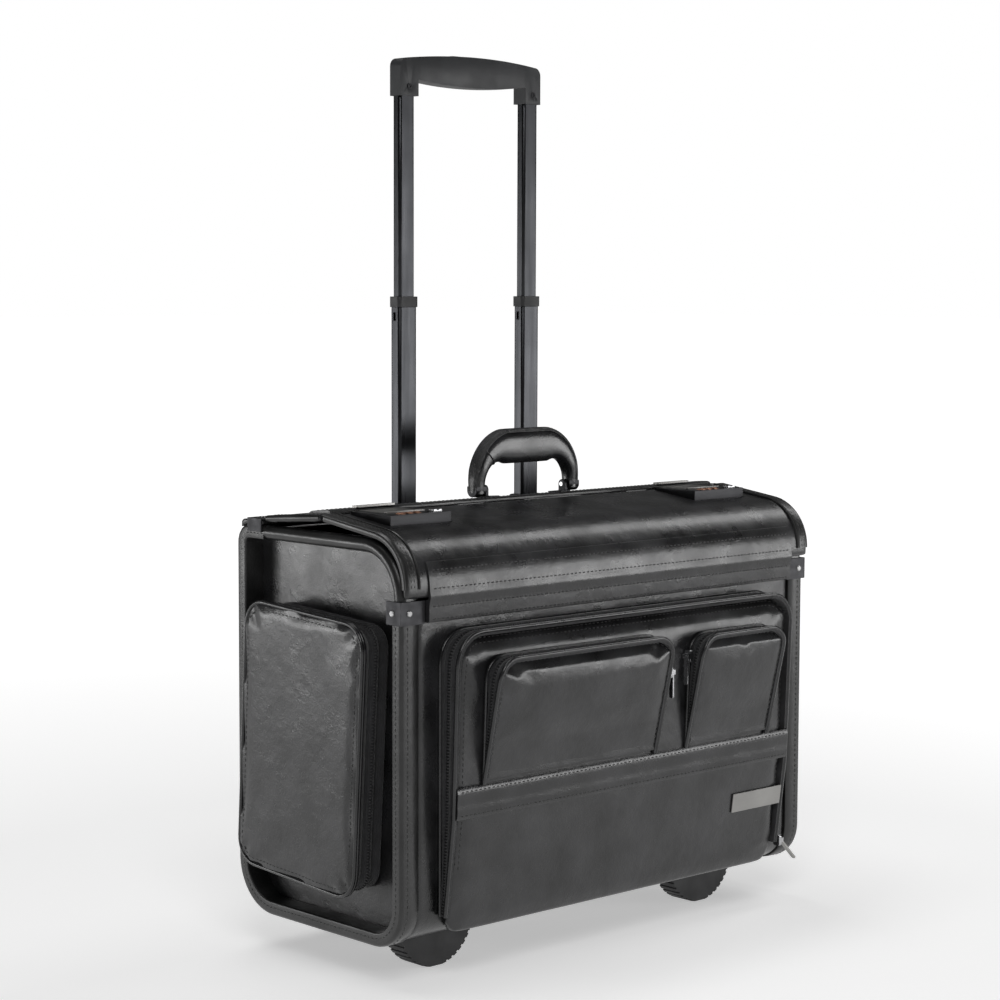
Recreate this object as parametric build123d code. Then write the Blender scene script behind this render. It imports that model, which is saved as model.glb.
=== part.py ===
from build123d import *
import math
import os

# Pilot rolling flight case. Millimetres, +Z up, -Y is the front with the pockets.
# While drawing, X = 0 is the case's middle plane, Y = 0 its front wall and Z = 0 the floor.
# On writing, everything moves once so that the origin is the bottom centre of the whole case.

# ---- driving dimensions -------------------------------------------------------------------
CASE_WIDTH = 470
CASE_DEPTH = 204
GROUND_CLEARANCE = 34
SIDE_TOP = 351              # flat top edge of the side walls
WALL = 4                    # board with its leather
FRONT_LOW_RADIUS = 32
BACK_LOW_RADIUS = 42
FRONT_TOP_RADIUS = 45
BACK_TOP_RADIUS = 14
RIM_WIDTH = 18              # bound edge that the side walls sit behind
RIM_PROUD = 1.5
RIM_DEPTH = 10

LID_THICKNESS = 5
LID_RADIUS = 40             # middle line of the curved front lid
LID_RISE = 5.5              # from the hinge to where the curve starts
LID_HINGE = (-4.5, 310.5)   # (Y, Z)
LID_SLOPE = 7.5             # degrees, rise of the flat stretch towards the middle
LID_MEETING = 93            # Y of the front lid's free edge
REAR_LID_THICKNESS = 6
REAR_LID_HINGE = (166, 358)
REAR_LID_FRONT = (97.6, 363.5)
DECK_FRONT = 170

TUBE_SPACING = 144
TUBE_Y = 185
MIDDLE_TUBE = (20, 12)
UPPER_TUBE = (17, 9.5)
TUBE_WALL = 1.2
SLIDE_GAP = 0.2
COLLAR_TOP = 537
GRIP_BOTTOM = 706
GRIP_TOP = 742

WHEEL_RADIUS = 30
WHEEL_WIDTH = 24
WHEEL_X = 139
WHEEL_Y = 160
AXLE_RADIUS = 4
RUNNING_GAP = 0.05

FOOT_RADIUS = 40
FOOT_X = 157
FOOT_Y = (46, 66)
FOOT_SINK = 0.5             # how much of the disc is flattened on the floor

HANDLE_HALF_WIDTH = 60.5
HANDLE_Y = 111
HANDLE_TOP = 425
HANDLE_BAR = 29
HANDLE_LEG = 12
HANDLE_DEPTH = (12, 15)     # at the feet and at the top
PIVOT_RADIUS = 1.8

LOCK_X = 174.7
LOCK_SIZE = (63, 48.5)
LOCK_FRONT = 44.5
LOCK_LOW = 353.5
LOCK_TOP = 367.5
DIAL_RADIUS = 5.6
DIAL_WIDTH = 5
DIAL_PITCH = 8

POCKET_X = (-196, 199)
POCKET_Z = (38, 282)
POCKET_FACE = [(-5, 38), (-17, 131), (-22, 264)]   # (Y, Z) up the front of the big pocket
BELT_Z = (134, 159)
SMALL_POCKETS = {"left": (-167, 31, 159.2, 261), "right": (64, 171, 159.2, 257)}
SMALL_PROUD = 19
PLATE = (131, 194, 92.5, 109)

SIDE_POCKET_Y = (34, 184)
SIDE_POCKET_Z = (71, 291)
SIDE_POCKET_TILT = 3.4      # degrees, the front edge is the lower one
SIDE_POCKET_PROUD = 14      # beyond the case's own width
SIDE_POCKET_RADIUS = 22
PANEL_THICKNESS = 5

# ---- worked-out dimensions ----------------------------------------------------------------
HALF = CASE_WIDTH / 2
RIM_INNER = HALF - RIM_WIDTH
PANEL_INNER = RIM_INNER - WALL
FRONT_TOP = SIDE_TOP - FRONT_TOP_RADIUS
TUBE_X = TUBE_SPACING / 2
OUTER_TUBE = tuple(size + 2 * (TUBE_WALL + SLIDE_GAP) for size in MIDDLE_TUBE)


# ---- shared shapes ------------------------------------------------------------------------
def block(x, y, z):
    """Box between two limits along each axis."""
    size = [high - low for low, high in (x, y, z)]
    middle = [(high + low) / 2 for low, high in (x, y, z)]
    return Pos(*middle) * Box(*size)


def across(outline, x_low, x_high):
    """Pushes a (depth, height) outline across the case."""
    return Pos(x_low, 0, 0) * extrude(Plane.YZ * outline, x_high - x_low)


def forward(outline, y_front, y_back):
    """Pushes an (across, height) outline through the case's depth."""
    return Pos(0, y_back, 0) * extrude(Plane.XZ * outline, y_back - y_front)


def rod(radius, x_low, x_high, y, z):
    """Round bar along X."""
    return across(Pos(y, z) * Circle(radius), x_low, x_high)


def both_sides(shape):
    """The shape and its mirror image in the case's middle plane."""
    return shape + mirror(shape, Plane.YZ)


def rounded(x, z, top_radius, low_radius):
    """Rectangle between two limits along each direction, with rounded corners."""
    middle = Pos((x[0] + x[1]) / 2, (z[0] + z[1]) / 2)
    outline = middle * Rectangle(x[1] - x[0], z[1] - z[0])
    outline = fillet(outline.vertices().sort_by(Axis.Y)[-2:], top_radius)
    if low_radius:
        outline = fillet(outline.vertices().sort_by(Axis.Y)[:2], low_radius)
    return outline


def side_outline(inset):
    """Side view of the case, drawn inset millimetres inside its outer surface."""
    width = CASE_DEPTH - 2 * inset
    height = SIDE_TOP - GROUND_CLEARANCE - 2 * inset
    middle = (CASE_DEPTH / 2, (SIDE_TOP + GROUND_CLEARANCE) / 2)
    outline = Pos(*middle) * Rectangle(width, height)
    corners = (
        (-1, -1, FRONT_LOW_RADIUS),
        (1, -1, BACK_LOW_RADIUS),
        (-1, 1, FRONT_TOP_RADIUS),
        (1, 1, BACK_TOP_RADIUS),
    )
    for back, up, radius in corners:
        if radius <= inset:
            continue
        place = Vector(middle[0] + back * width / 2, middle[1] + up * height / 2)
        corner = min(outline.vertices(), key=lambda point: (Vector(point) - place).length)
        outline = fillet(corner, radius - inset)
    return outline


def side_ring(outer_inset, inner_inset, x_low, x_high):
    """Band that follows the side view all the way round."""
    return across(side_outline(outer_inset) - side_outline(inner_inset), x_low, x_high)


def open_top():
    """Where the case is open: above the front wall, as far back as the deck."""
    return block((-CASE_WIDTH, CASE_WIDTH), (-CASE_DEPTH, DECK_FRONT), (FRONT_TOP, 2 * SIDE_TOP))


def tube_openings(gap, z):
    """Two upright holes, gap wider all round than the middle tubes."""
    size = [side + 2 * gap for side in MIDDLE_TUBE]
    return both_sides(Pos(TUBE_X, TUBE_Y, sum(z) / 2) * Box(*size, z[1] - z[0]))


# ---- case -----------------------------------------------------------------------------------
def shell_wrap():
    """Front wall, floor, back wall and rear top in one bent board, opened for wheels and tubes."""
    shell = side_ring(0, WALL, -RIM_INNER, RIM_INNER) - open_top()
    shell -= tube_openings(SLIDE_GAP, (SIDE_TOP - 2 * WALL, SIDE_TOP + WALL))
    return shell - both_sides(wheel_well())


def side_panel(side):
    """Flat end wall, set back behind the rim."""
    panel = across(side_outline(WALL), PANEL_INNER, RIM_INNER)
    return panel if side > 0 else mirror(panel, Plane.YZ)


def side_rims():
    """Bound edges of the front wall, floor, back wall and rear top."""
    rim = side_ring(-RIM_PROUD, RIM_DEPTH, RIM_INNER, HALF) - open_top()
    return both_sides(rim)


def side_rails():
    """Rolled rails along the top of the end walls, bent down at the front."""
    rail = side_ring(-RIM_PROUD, RIM_DEPTH, RIM_INNER, HALF) & open_top()
    return both_sides(rail)


DECK_TOP = SIDE_TOP + 5.5
DECK_BACK = 199.5
DECK_OVERLAP = 8            # how far the deck reaches down over the case's rounded back edge


def rear_deck():
    """Strip fitted over the rear top, behind the rear lid, with the openings for the tubes."""
    z = (SIDE_TOP - DECK_OVERLAP, DECK_TOP)
    deck = block((-HALF, HALF), (DECK_FRONT + 1, DECK_BACK), z)
    deck -= across(side_outline(0), -HALF, HALF)
    deck -= both_sides(across(side_outline(-RIM_PROUD), RIM_INNER, HALF))
    deck = fillet(deck.edges().filter_by(Axis.X).group_by(Axis.Z)[-1].sort_by(Axis.Y)[-1], 3)
    return deck - tube_openings(SLIDE_GAP, z)


BEZEL_SIZE = (30, 17.5)
BEZEL_HEIGHT = 4


def tube_bezels():
    """Plastic frames on the deck, round the tubes."""
    frame = extrude(RectangleRounded(*BEZEL_SIZE, 4), BEZEL_HEIGHT)
    frame = chamfer(frame.faces().sort_by(Axis.Z)[-1].edges(), 1)
    frames = both_sides(Pos(TUBE_X, TUBE_Y - 1, DECK_TOP) * frame)
    return frames - tube_openings(SLIDE_GAP, (DECK_TOP - 1, DECK_TOP + BEZEL_HEIGHT + 1))


BRACKET_SHEET = 1.6
BRACKET_FRONT_Z = (288, 306.5)
BRACKET_ARMS = (16, 23)     # along the side and along the front
REAR_BRACKET_Y = (DECK_FRONT + 1, DECK_FRONT + 19)
REAR_BRACKET_LOW = 347


def corner_brackets():
    """Folded metal corners: two round the front's upright edges, two over the ends of the deck."""
    outer = HALF + BRACKET_SHEET
    face_x = (HALF - BRACKET_ARMS[1], outer)
    bracket = block((HALF, outer), (-RIM_PROUD, BRACKET_ARMS[0] - RIM_PROUD), BRACKET_FRONT_Z)
    bracket += block(face_x, (-RIM_PROUD - BRACKET_SHEET, -RIM_PROUD), BRACKET_FRONT_Z)
    rear_top = (DECK_TOP, DECK_TOP + BRACKET_SHEET)
    bracket += block((HALF, outer), REAR_BRACKET_Y, (REAR_BRACKET_LOW, rear_top[1]))
    bracket += block(face_x, REAR_BRACKET_Y, rear_top)
    return both_sides(bracket)


RIVET_RADIUS = 2.6
RIVET_PROUD = 1.0
RIVET_FROM_CORNER = 7


def bracket_rivets():
    """Domed rivet heads on the faces of the brackets."""
    head = Cylinder(RIVET_RADIUS, RIVET_PROUD)
    head = chamfer(head.edges().sort_by(Axis.Z)[-1], RIVET_PROUD * 0.6)
    front_z = sum(BRACKET_FRONT_Z) / 2
    front_y = -RIM_PROUD - BRACKET_SHEET - RIVET_PROUD / 2
    inward = HALF - RIVET_FROM_CORNER
    rivets = Pos(inward, front_y, front_z) * Rot(90, 0, 0) * head
    rivets += Pos(HALF + BRACKET_SHEET + RIVET_PROUD / 2, RIVET_FROM_CORNER, front_z) * Rot(0, 90, 0) * head
    rear_place = Pos(inward, sum(REAR_BRACKET_Y) / 2, DECK_TOP + BRACKET_SHEET + RIVET_PROUD / 2)
    rivets += rear_place * head
    return both_sides(rivets)


# ---- pull handle --------------------------------------------------------------------------
FOOT_PLATE_Z = (72, 78)
FOOT_PLATE_MARGIN = (10, 14, 8)   # beyond the tubes: outward, forward and back
TUBE_CORNER = 2.5
WINDOW_DROP = 8             # from the collar's underside to the window's middle
TUBE_ENGAGEMENT = 60        # length still inside the stage below when pulled out
COLLAR_HEIGHT = 9
COLLAR_PROUD = 1.0
WINDOW = (4, 7)
GRIP_END_HEIGHT = 28


def tube_pair(size, wall, z_low, z_high):
    """Two upright flat tubes, one each side."""
    outer = RectangleRounded(*size, TUBE_CORNER)
    inner = RectangleRounded(size[0] - 2 * wall, size[1] - 2 * wall, TUBE_CORNER - wall)
    tube = Pos(TUBE_X, TUBE_Y, z_low) * extrude(outer - inner, z_high - z_low)
    return both_sides(tube)


def outer_tubes():
    """Fixed tubes inside the back of the case."""
    return tube_pair(OUTER_TUBE, TUBE_WALL, FOOT_PLATE_Z[1], SIDE_TOP - 2 * WALL)


def tube_foot_bracket():
    """Steel plate that ties the lower ends of the fixed tubes to the case."""
    outward, forward_reach, back_reach = FOOT_PLATE_MARGIN
    reach = TUBE_X + OUTER_TUBE[0] / 2 + outward
    return block((-reach, reach), (TUBE_Y - forward_reach, TUBE_Y + back_reach), FOOT_PLATE_Z)


def middle_tubes():
    """Wider stage of the pull handle, with a lock window in the side of each tube."""
    low = SIDE_TOP - TUBE_ENGAGEMENT
    tubes = tube_pair(MIDDLE_TUBE, TUBE_WALL, low, COLLAR_TOP - COLLAR_HEIGHT)
    window_z = COLLAR_TOP - COLLAR_HEIGHT - WINDOW_DROP
    for x in (-TUBE_X, TUBE_X):
        place = Pos(x - MIDDLE_TUBE[0] / 2, TUBE_Y, window_z)
        tubes -= place * Box(4 * TUBE_WALL, *WINDOW)
    return tubes


def tube_collars():
    """Plastic collars that guide the upper tubes into the middle ones."""
    size = [side + 2 * COLLAR_PROUD for side in MIDDLE_TUBE]
    opening = [side + 2 * SLIDE_GAP for side in UPPER_TUBE]
    collar = extrude(RectangleRounded(*size, 3) - Rectangle(*opening), COLLAR_HEIGHT)
    return both_sides(Pos(TUBE_X, TUBE_Y, COLLAR_TOP - COLLAR_HEIGHT) * collar)


def upper_tubes():
    """Narrow stage of the pull handle, up into the grip's ends."""
    return tube_pair(UPPER_TUBE, TUBE_WALL, COLLAR_TOP - TUBE_ENGAGEMENT, GRIP_BOTTOM + GRIP_END_HEIGHT / 2)


GRIP_HALF = 81.5
GRIP_END_DEPTH = 13
GRIP_END_WIDTH = 19
GRIP_SWELL = (4, 2)         # how far the middle bulges forward and back beyond the ends
GRIP_BOW = 5                # how far the middle of the grip rises over its ends
GRIP_SAG = 4                # how far its underside drops
GRIP_BAR = 17
BUTTON_SIZE = (44, 11)
BUTTON_TRAVEL = 4
ROD_RADIUS = 1.5
YOKE_Z = (GRIP_TOP - 14, GRIP_TOP - 11)
SCREW_RADIUS = 2.4
SCREW_HEIGHT = 1.5
SCREW_RISE = 8              # above the grip's lower end
SCREW_FORWARD = 1           # its middle is this far in front of the grip's ends


def grip_front_view():
    """Bowed bar, thickest in the middle, with a socket down at each end."""
    end_top = GRIP_TOP - GRIP_BOW
    bar_low = end_top - GRIP_BAR
    inner = GRIP_HALF - GRIP_END_WIDTH
    edges = ThreePointArc((-GRIP_HALF, end_top), (0, GRIP_TOP), (GRIP_HALF, end_top))
    edges += Polyline((GRIP_HALF, end_top), (GRIP_HALF, GRIP_BOTTOM), (inner, GRIP_BOTTOM), (inner, bar_low))
    edges += ThreePointArc((inner, bar_low), (0, bar_low - GRIP_SAG), (-inner, bar_low))
    left_end = ((-inner, bar_low), (-inner, GRIP_BOTTOM), (-GRIP_HALF, GRIP_BOTTOM), (-GRIP_HALF, end_top))
    return make_face(edges + Polyline(*left_end))


def grip_plan_view():
    """Outline from above, swelling forward for the fingers."""
    front = TUBE_Y - GRIP_END_DEPTH / 2
    back = TUBE_Y + GRIP_END_DEPTH / 2
    reach = GRIP_HALF + 5
    edges = ThreePointArc((-reach, front), (0, front - GRIP_SWELL[0]), (reach, front))
    edges += Line((reach, front), (reach, back))
    edges += ThreePointArc((reach, back), (0, back + GRIP_SWELL[1]), (-reach, back))
    edges += Line((-reach, back), (-reach, front))
    return make_face(edges)


def grip_shell():
    """Moulded grip: the upper tubes sit in its ends, the button and its bar in its middle."""
    grip = forward(grip_front_view(), TUBE_Y - GRIP_HALF, TUBE_Y + GRIP_HALF)
    grip = fillet(grip.edges().filter_by(Axis.Y).group_by(Axis.Z)[-1], 7)
    grip &= Pos(0, 0, GRIP_BOTTOM - 1) * extrude(grip_plan_view(), GRIP_TOP - GRIP_BOTTOM + 2)
    socket = [size + 2 * RUNNING_GAP for size in UPPER_TUBE]
    height = GRIP_END_HEIGHT / 2
    hollow = Pos(TUBE_X, TUBE_Y, GRIP_BOTTOM + height / 2) * Box(*socket, height)
    hollow += Pos(TUBE_X, TUBE_Y, GRIP_BOTTOM + height) * Box(ROD_RADIUS * 4, ROD_RADIUS * 4, 2 * height)
    grip -= both_sides(hollow)
    slot = [size / 2 + SLIDE_GAP for size in BUTTON_SIZE]
    grip -= block((-slot[0], slot[0]), (TUBE_Y - slot[1], TUBE_Y + slot[1]), (YOKE_Z[1], GRIP_TOP + 1))
    yoke_y = (TUBE_Y - ROD_RADIUS - 1, TUBE_Y + ROD_RADIUS + 1)
    grip -= block((-TUBE_X - 6, TUBE_X + 6), yoke_y, (YOKE_Z[0] - BUTTON_TRAVEL - 1, YOKE_Z[1] + 1))
    return grip - both_sides(screw_place() * Cylinder(SCREW_RADIUS, SCREW_HEIGHT))


def screw_place():
    """Middle of the right screw, its head facing forward."""
    front = TUBE_Y - GRIP_END_DEPTH / 2
    return Pos(TUBE_X, front - SCREW_FORWARD, GRIP_BOTTOM + SCREW_RISE) * Rot(90, 0, 0)


def release_button():
    """Push button on top of the grip, with the bar that links both rods."""
    half = [size / 2 for size in BUTTON_SIZE]
    button = block((-half[0], half[0]), (TUBE_Y - half[1], TUBE_Y + half[1]), (GRIP_TOP - 6, GRIP_TOP + 0.5))
    button = fillet(button.edges().filter_by(Axis.Z), 3)
    button = fillet(button.faces().sort_by(Axis.Z)[-1].edges(), 1)
    stem = block((-5, 5), (TUBE_Y - 1.5, TUBE_Y + 1.5), (YOKE_Z[0], GRIP_TOP - 6))
    yoke = block((-TUBE_X - 3, TUBE_X + 3), (TUBE_Y - ROD_RADIUS, TUBE_Y + ROD_RADIUS), YOKE_Z)
    return button + stem + yoke


def release_rods():
    """Rods down the upper tubes that draw the lock pins back."""
    low = COLLAR_TOP - TUBE_ENGAGEMENT + 10
    rod_length = YOKE_Z[0] - low
    return both_sides(Pos(TUBE_X, TUBE_Y, low + rod_length / 2) * Cylinder(ROD_RADIUS, rod_length))


def grip_screws():
    """Cross-head screws let into the front of the grip's ends."""
    head = Cylinder(SCREW_RADIUS, SCREW_HEIGHT)
    for turn in (0, 90):
        head -= Pos(0, 0, SCREW_HEIGHT / 2) * Rot(0, 0, turn) * Box(1.4 * SCREW_RADIUS, 0.8, SCREW_HEIGHT)
    return both_sides(screw_place() * head)


# ---- wheels and feet ----------------------------------------------------------------------
HOUSING_WALL = 2.5
WELL_GAP = 4
SIDE_GAP = 1.5


def wheel_well():
    """Space that a wheel housing takes up."""
    radius = WHEEL_RADIUS + WELL_GAP + HOUSING_WALL
    half = WHEEL_WIDTH / 2 + SIDE_GAP + HOUSING_WALL
    x = (WHEEL_X - half, WHEEL_X + half)
    well = rod(radius, *x, WHEEL_Y, WHEEL_RADIUS)
    return well + block(x, (WHEEL_Y - radius, WHEEL_Y + radius), (0, WHEEL_RADIUS))


def wheel_housings():
    """Moulded half drums that hold the wheels in the lower back corner."""
    radius = WHEEL_RADIUS + WELL_GAP
    half = WHEEL_WIDTH / 2 + SIDE_GAP
    room = rod(radius, WHEEL_X - half, WHEEL_X + half, WHEEL_Y, WHEEL_RADIUS)
    room += block((WHEEL_X - half, WHEEL_X + half), (WHEEL_Y - radius, WHEEL_Y + radius), (0, WHEEL_RADIUS))
    housing = wheel_well() - room
    cheek_low = WHEEL_RADIUS - 10
    outer_half = half + HOUSING_WALL
    housing &= block((WHEEL_X - outer_half, WHEEL_X + outer_half), (0, CASE_DEPTH), (cheek_low, SIDE_TOP))
    housing -= rod(AXLE_RADIUS, WHEEL_X - outer_half, WHEEL_X + outer_half, WHEEL_Y, WHEEL_RADIUS)
    return both_sides(housing)


def wheel_axles():
    """Steel pins across the housings."""
    half = WHEEL_WIDTH / 2 + SIDE_GAP + HOUSING_WALL
    return both_sides(rod(AXLE_RADIUS, WHEEL_X - half, WHEEL_X + half, WHEEL_Y, WHEEL_RADIUS))


HUB_RADIUS = 21
HUB_OPENINGS = 5
HUB_OPENING_RADIUS = 4
HUB_OPENING_PITCH = 13


def wheel_hub(side):
    """Hub with a ring of round openings."""
    half = WHEEL_WIDTH / 2
    hub = rod(HUB_RADIUS, WHEEL_X - half + 1, WHEEL_X + half - 1, WHEEL_Y, WHEEL_RADIUS)
    hub -= rod(AXLE_RADIUS + RUNNING_GAP, WHEEL_X - half, WHEEL_X + half, WHEEL_Y, WHEEL_RADIUS)
    for i in range(HUB_OPENINGS):
        angle = 2 * math.pi * i / HUB_OPENINGS
        y = WHEEL_Y + HUB_OPENING_PITCH * math.cos(angle)
        z = WHEEL_RADIUS + HUB_OPENING_PITCH * math.sin(angle)
        hub -= rod(HUB_OPENING_RADIUS, WHEEL_X - half, WHEEL_X + half, y, z)
    return hub if side > 0 else mirror(hub, Plane.YZ)


def tyre(side):
    """Rubber tyre with rounded shoulders."""
    half = WHEEL_WIDTH / 2
    ring = rod(WHEEL_RADIUS, WHEEL_X - half, WHEEL_X + half, WHEEL_Y, WHEEL_RADIUS)
    ring = fillet(ring.edges(), 3)
    ring -= rod(HUB_RADIUS, WHEEL_X - half, WHEEL_X + half, WHEEL_Y, WHEEL_RADIUS)
    return ring if side > 0 else mirror(ring, Plane.YZ)


RIB_COUNT = 40
RIB_DEPTH = 1.2
RIB_GAP = 2.2
SMOOTH_HALF = 12            # degrees each side of straight down, where a foot has no ribs
FOOT_SCREW_HEAD = (4, 2)    # radius, height
FOOT_SCREW_OFFSET = 20


def front_feet():
    """Half-round stand feet under the front edge, ribbed like a tyre, flat on the floor."""
    middle_z = FOOT_RADIUS - FOOT_SINK
    disc = Circle(FOOT_RADIUS)
    for i in range(RIB_COUNT):
        angle = 360 * i / RIB_COUNT
        if abs(angle - 270) < SMOOTH_HALF:
            continue
        disc -= Rot(0, 0, angle) * Pos(FOOT_RADIUS, 0) * Rectangle(2 * RIB_DEPTH, RIB_GAP)
    foot = forward(Pos(FOOT_X, middle_z) * disc, *FOOT_Y)
    reach = (FOOT_X - 2 * FOOT_RADIUS, FOOT_X + 2 * FOOT_RADIUS)
    foot &= block(reach, (0, CASE_DEPTH), (0, GROUND_CLEARANCE))
    return both_sides(foot)


def foot_screws():
    """Screws from inside the case into the feet."""
    screws = Part()
    middle_y = sum(FOOT_Y) / 2
    middle_z = GROUND_CLEARANCE + WALL + FOOT_SCREW_HEAD[1] / 2
    for offset in (-FOOT_SCREW_OFFSET, FOOT_SCREW_OFFSET):
        screws += Pos(FOOT_X + offset, middle_y, middle_z) * Cylinder(*FOOT_SCREW_HEAD)
    return both_sides(screws)


# ---- lids -----------------------------------------------------------------------------------
BAND_LOW = 289
BAND_CLEAR = 4              # below the hinge line, so the lid can turn
LOCK_GAP = 0.2


def front_lid_outline():
    """Side view of the front lid: up from its hinge, round the corner, back to the middle."""
    centre = Vector(LID_HINGE[0] + LID_RADIUS, LID_HINGE[1] + LID_RISE)
    rise = Line(LID_HINGE, (LID_HINGE[0], centre.Y))
    bend = CenterArc(centre, LID_RADIUS, 180, LID_SLOPE - 90)
    run = LID_MEETING - (bend @ 1).X
    flat = Line(bend @ 1, (LID_MEETING, (bend @ 1).Y + run * math.tan(math.radians(LID_SLOPE))))
    board = trace(rise + bend + flat, LID_THICKNESS)
    return board + Pos(*LID_HINGE) * Circle(LID_THICKNESS / 2)


def lock_footprint(side, gap):
    """Block that one lock body takes up in the front lid."""
    half = LOCK_SIZE[0] / 2 + gap
    x = (side * LOCK_X - half, side * LOCK_X + half)
    y = (LOCK_FRONT - gap, LOCK_FRONT + LOCK_SIZE[1] + gap)
    return block(x, y, (LOCK_LOW - gap, LOCK_TOP))


def front_lid_board():
    """Large curved lid, open under the locks."""
    lid = across(front_lid_outline(), -HALF, HALF)
    for side in (-1, 1):
        lid -= lock_footprint(side, LOCK_GAP)
    return lid


def front_hinge_band():
    """Leather band on the front wall that the front lid hinges on."""
    reach = HALF - BRACKET_ARMS[1] - 0.5
    band_top = LID_HINGE[1] - BAND_CLEAR
    band = block((-reach, reach), (LID_HINGE[0] - LID_THICKNESS / 2, 0), (BAND_LOW, band_top))
    rim = block((RIM_INNER, HALF), (-RIM_PROUD, CASE_DEPTH), (0, SIDE_TOP))
    return band - both_sides(rim)


def rear_lid_top(y):
    """Height of the rear lid's upper face at a depth."""
    slope = (REAR_LID_FRONT[1] - REAR_LID_HINGE[1]) / (REAR_LID_HINGE[0] - REAR_LID_FRONT[0])
    middle = REAR_LID_HINGE[1] + slope * (REAR_LID_HINGE[0] - y)
    return middle + REAR_LID_THICKNESS / 2 * math.hypot(1, slope)


def rear_lid_board():
    """Narrow lid between the middle and the deck, rounded at its hinge."""
    board = trace(Line(REAR_LID_FRONT, REAR_LID_HINGE), REAR_LID_THICKNESS)
    return across(board + Pos(*REAR_LID_HINGE) * Circle(REAR_LID_THICKNESS / 2), -HALF, HALF)


RAIL_Y = (99, 125)
RAIL_THICKNESS = 3
RAIL_END = 12               # from the case's side to the end of the rail
BRACKET_PLATE = 1.2


def on_rear_lid(x, y, lift, thickness):
    """Plate that lies on the rear lid, lift above its face."""
    front, back = (rear_lid_top(depth) + lift for depth in y)
    corners = ((y[0], front), (y[1], back), (y[1], back + thickness), (y[0], front + thickness))
    return across(make_face(Polyline(*corners, close=True)), *x)


def centre_rail():
    """Strip along the front of the rear lid that carries the handle and the catches."""
    reach = HALF - RAIL_END
    return on_rear_lid((-reach, reach), RAIL_Y, 0, RAIL_THICKNESS)


def catch_plates():
    """Keepers on the rail, behind the locks."""
    half = LATCH_WIDTH / 2
    y = (RAIL_Y[0] + 0.5, RAIL_Y[0] + 7)
    return both_sides(on_rear_lid((LOCK_X - half, LOCK_X + half), y, RAIL_THICKNESS, 2))


PIVOT_LIFT = 6.8            # above the rail
PIVOT_Z = rear_lid_top(HANDLE_Y) + RAIL_THICKNESS + PIVOT_LIFT
LEG_INSIDE = HANDLE_HALF_WIDTH - HANDLE_LEG
LUG_RADIUS = 4
LUG_X = (LEG_INSIDE - 3.7, LEG_INSIDE - 0.5)
PLATE_REACH = 8
LEG_LOW = PIVOT_Z + 3


def handle_brackets():
    """Chrome plates on the rail, each with a lug beside the handle's foot."""
    plate_x = (LUG_X[1] - 12, LUG_X[1])
    plate_y = (HANDLE_Y - PLATE_REACH, HANDLE_Y + PLATE_REACH)
    plates = on_rear_lid(plate_x, plate_y, RAIL_THICKNESS, BRACKET_PLATE)
    low = rear_lid_top(HANDLE_Y) + RAIL_THICKNESS + BRACKET_PLATE / 2
    lug = Pos(HANDLE_Y, PIVOT_Z) * Circle(LUG_RADIUS)
    lug += Pos(HANDLE_Y, (low + PIVOT_Z) / 2) * Rectangle(2 * LUG_RADIUS, PIVOT_Z - low)
    lug -= Pos(HANDLE_Y, PIVOT_Z) * Circle(PIVOT_RADIUS)
    return both_sides(plates + across(lug, *LUG_X))


def handle_pins():
    """Steel pins from the lugs into the handle's feet."""
    return both_sides(rod(PIVOT_RADIUS, LUG_X[0] - 0.8, HANDLE_HALF_WIDTH - 0.5, HANDLE_Y, PIVOT_Z))


def carry_handle_ends():
    """Rounded metal feet of the handle, turning on the pins."""
    width = HANDLE_DEPTH[0]
    foot = Pos(HANDLE_Y, PIVOT_Z) * Circle(width / 2)
    foot += Pos(HANDLE_Y, (LEG_LOW + PIVOT_Z) / 2) * Rectangle(width, LEG_LOW - PIVOT_Z)
    foot -= Pos(HANDLE_Y, LEG_LOW + width / 2) * Rectangle(width, width)
    foot -= Pos(HANDLE_Y, PIVOT_Z) * Circle(PIVOT_RADIUS + RUNNING_GAP)
    return both_sides(across(foot, LEG_INSIDE, HANDLE_HALF_WIDTH))


HANDLE_OUTER_RADIUS = 44
HANDLE_INNER_RADIUS = 15
LEG_SLIM = 10               # height over which the legs are slimmer than the bar


def carry_handle_grip():
    """Padded arch, slimmer front to back in its legs."""
    height = HANDLE_TOP - LEG_LOW
    grip_arch = Pos(0, LEG_LOW + height / 2) * Rectangle(2 * HANDLE_HALF_WIDTH, height)
    grip_arch = fillet(grip_arch.vertices().sort_by(Axis.Y)[-2:], HANDLE_OUTER_RADIUS)
    inside_height = height - HANDLE_BAR
    opening = Pos(0, LEG_LOW + inside_height / 2) * Rectangle(2 * LEG_INSIDE, inside_height)
    opening = fillet(opening.vertices().sort_by(Axis.Y)[-2:], HANDLE_INNER_RADIUS)
    foot_half, bar_half = (depth / 2 for depth in HANDLE_DEPTH)
    grip = forward(grip_arch - opening, HANDLE_Y - bar_half, HANDLE_Y + bar_half)
    full_z = LEG_LOW + LEG_SLIM
    side_view = Polyline(
        (HANDLE_Y - foot_half, LEG_LOW),
        (HANDLE_Y + foot_half, LEG_LOW),
        (HANDLE_Y + bar_half, full_z),
        (HANDLE_Y + bar_half, HANDLE_TOP),
        (HANDLE_Y - bar_half, HANDLE_TOP),
        (HANDLE_Y - bar_half, full_z),
        close=True,
    )
    return grip & across(make_face(side_view), -HALF, HALF)


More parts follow.
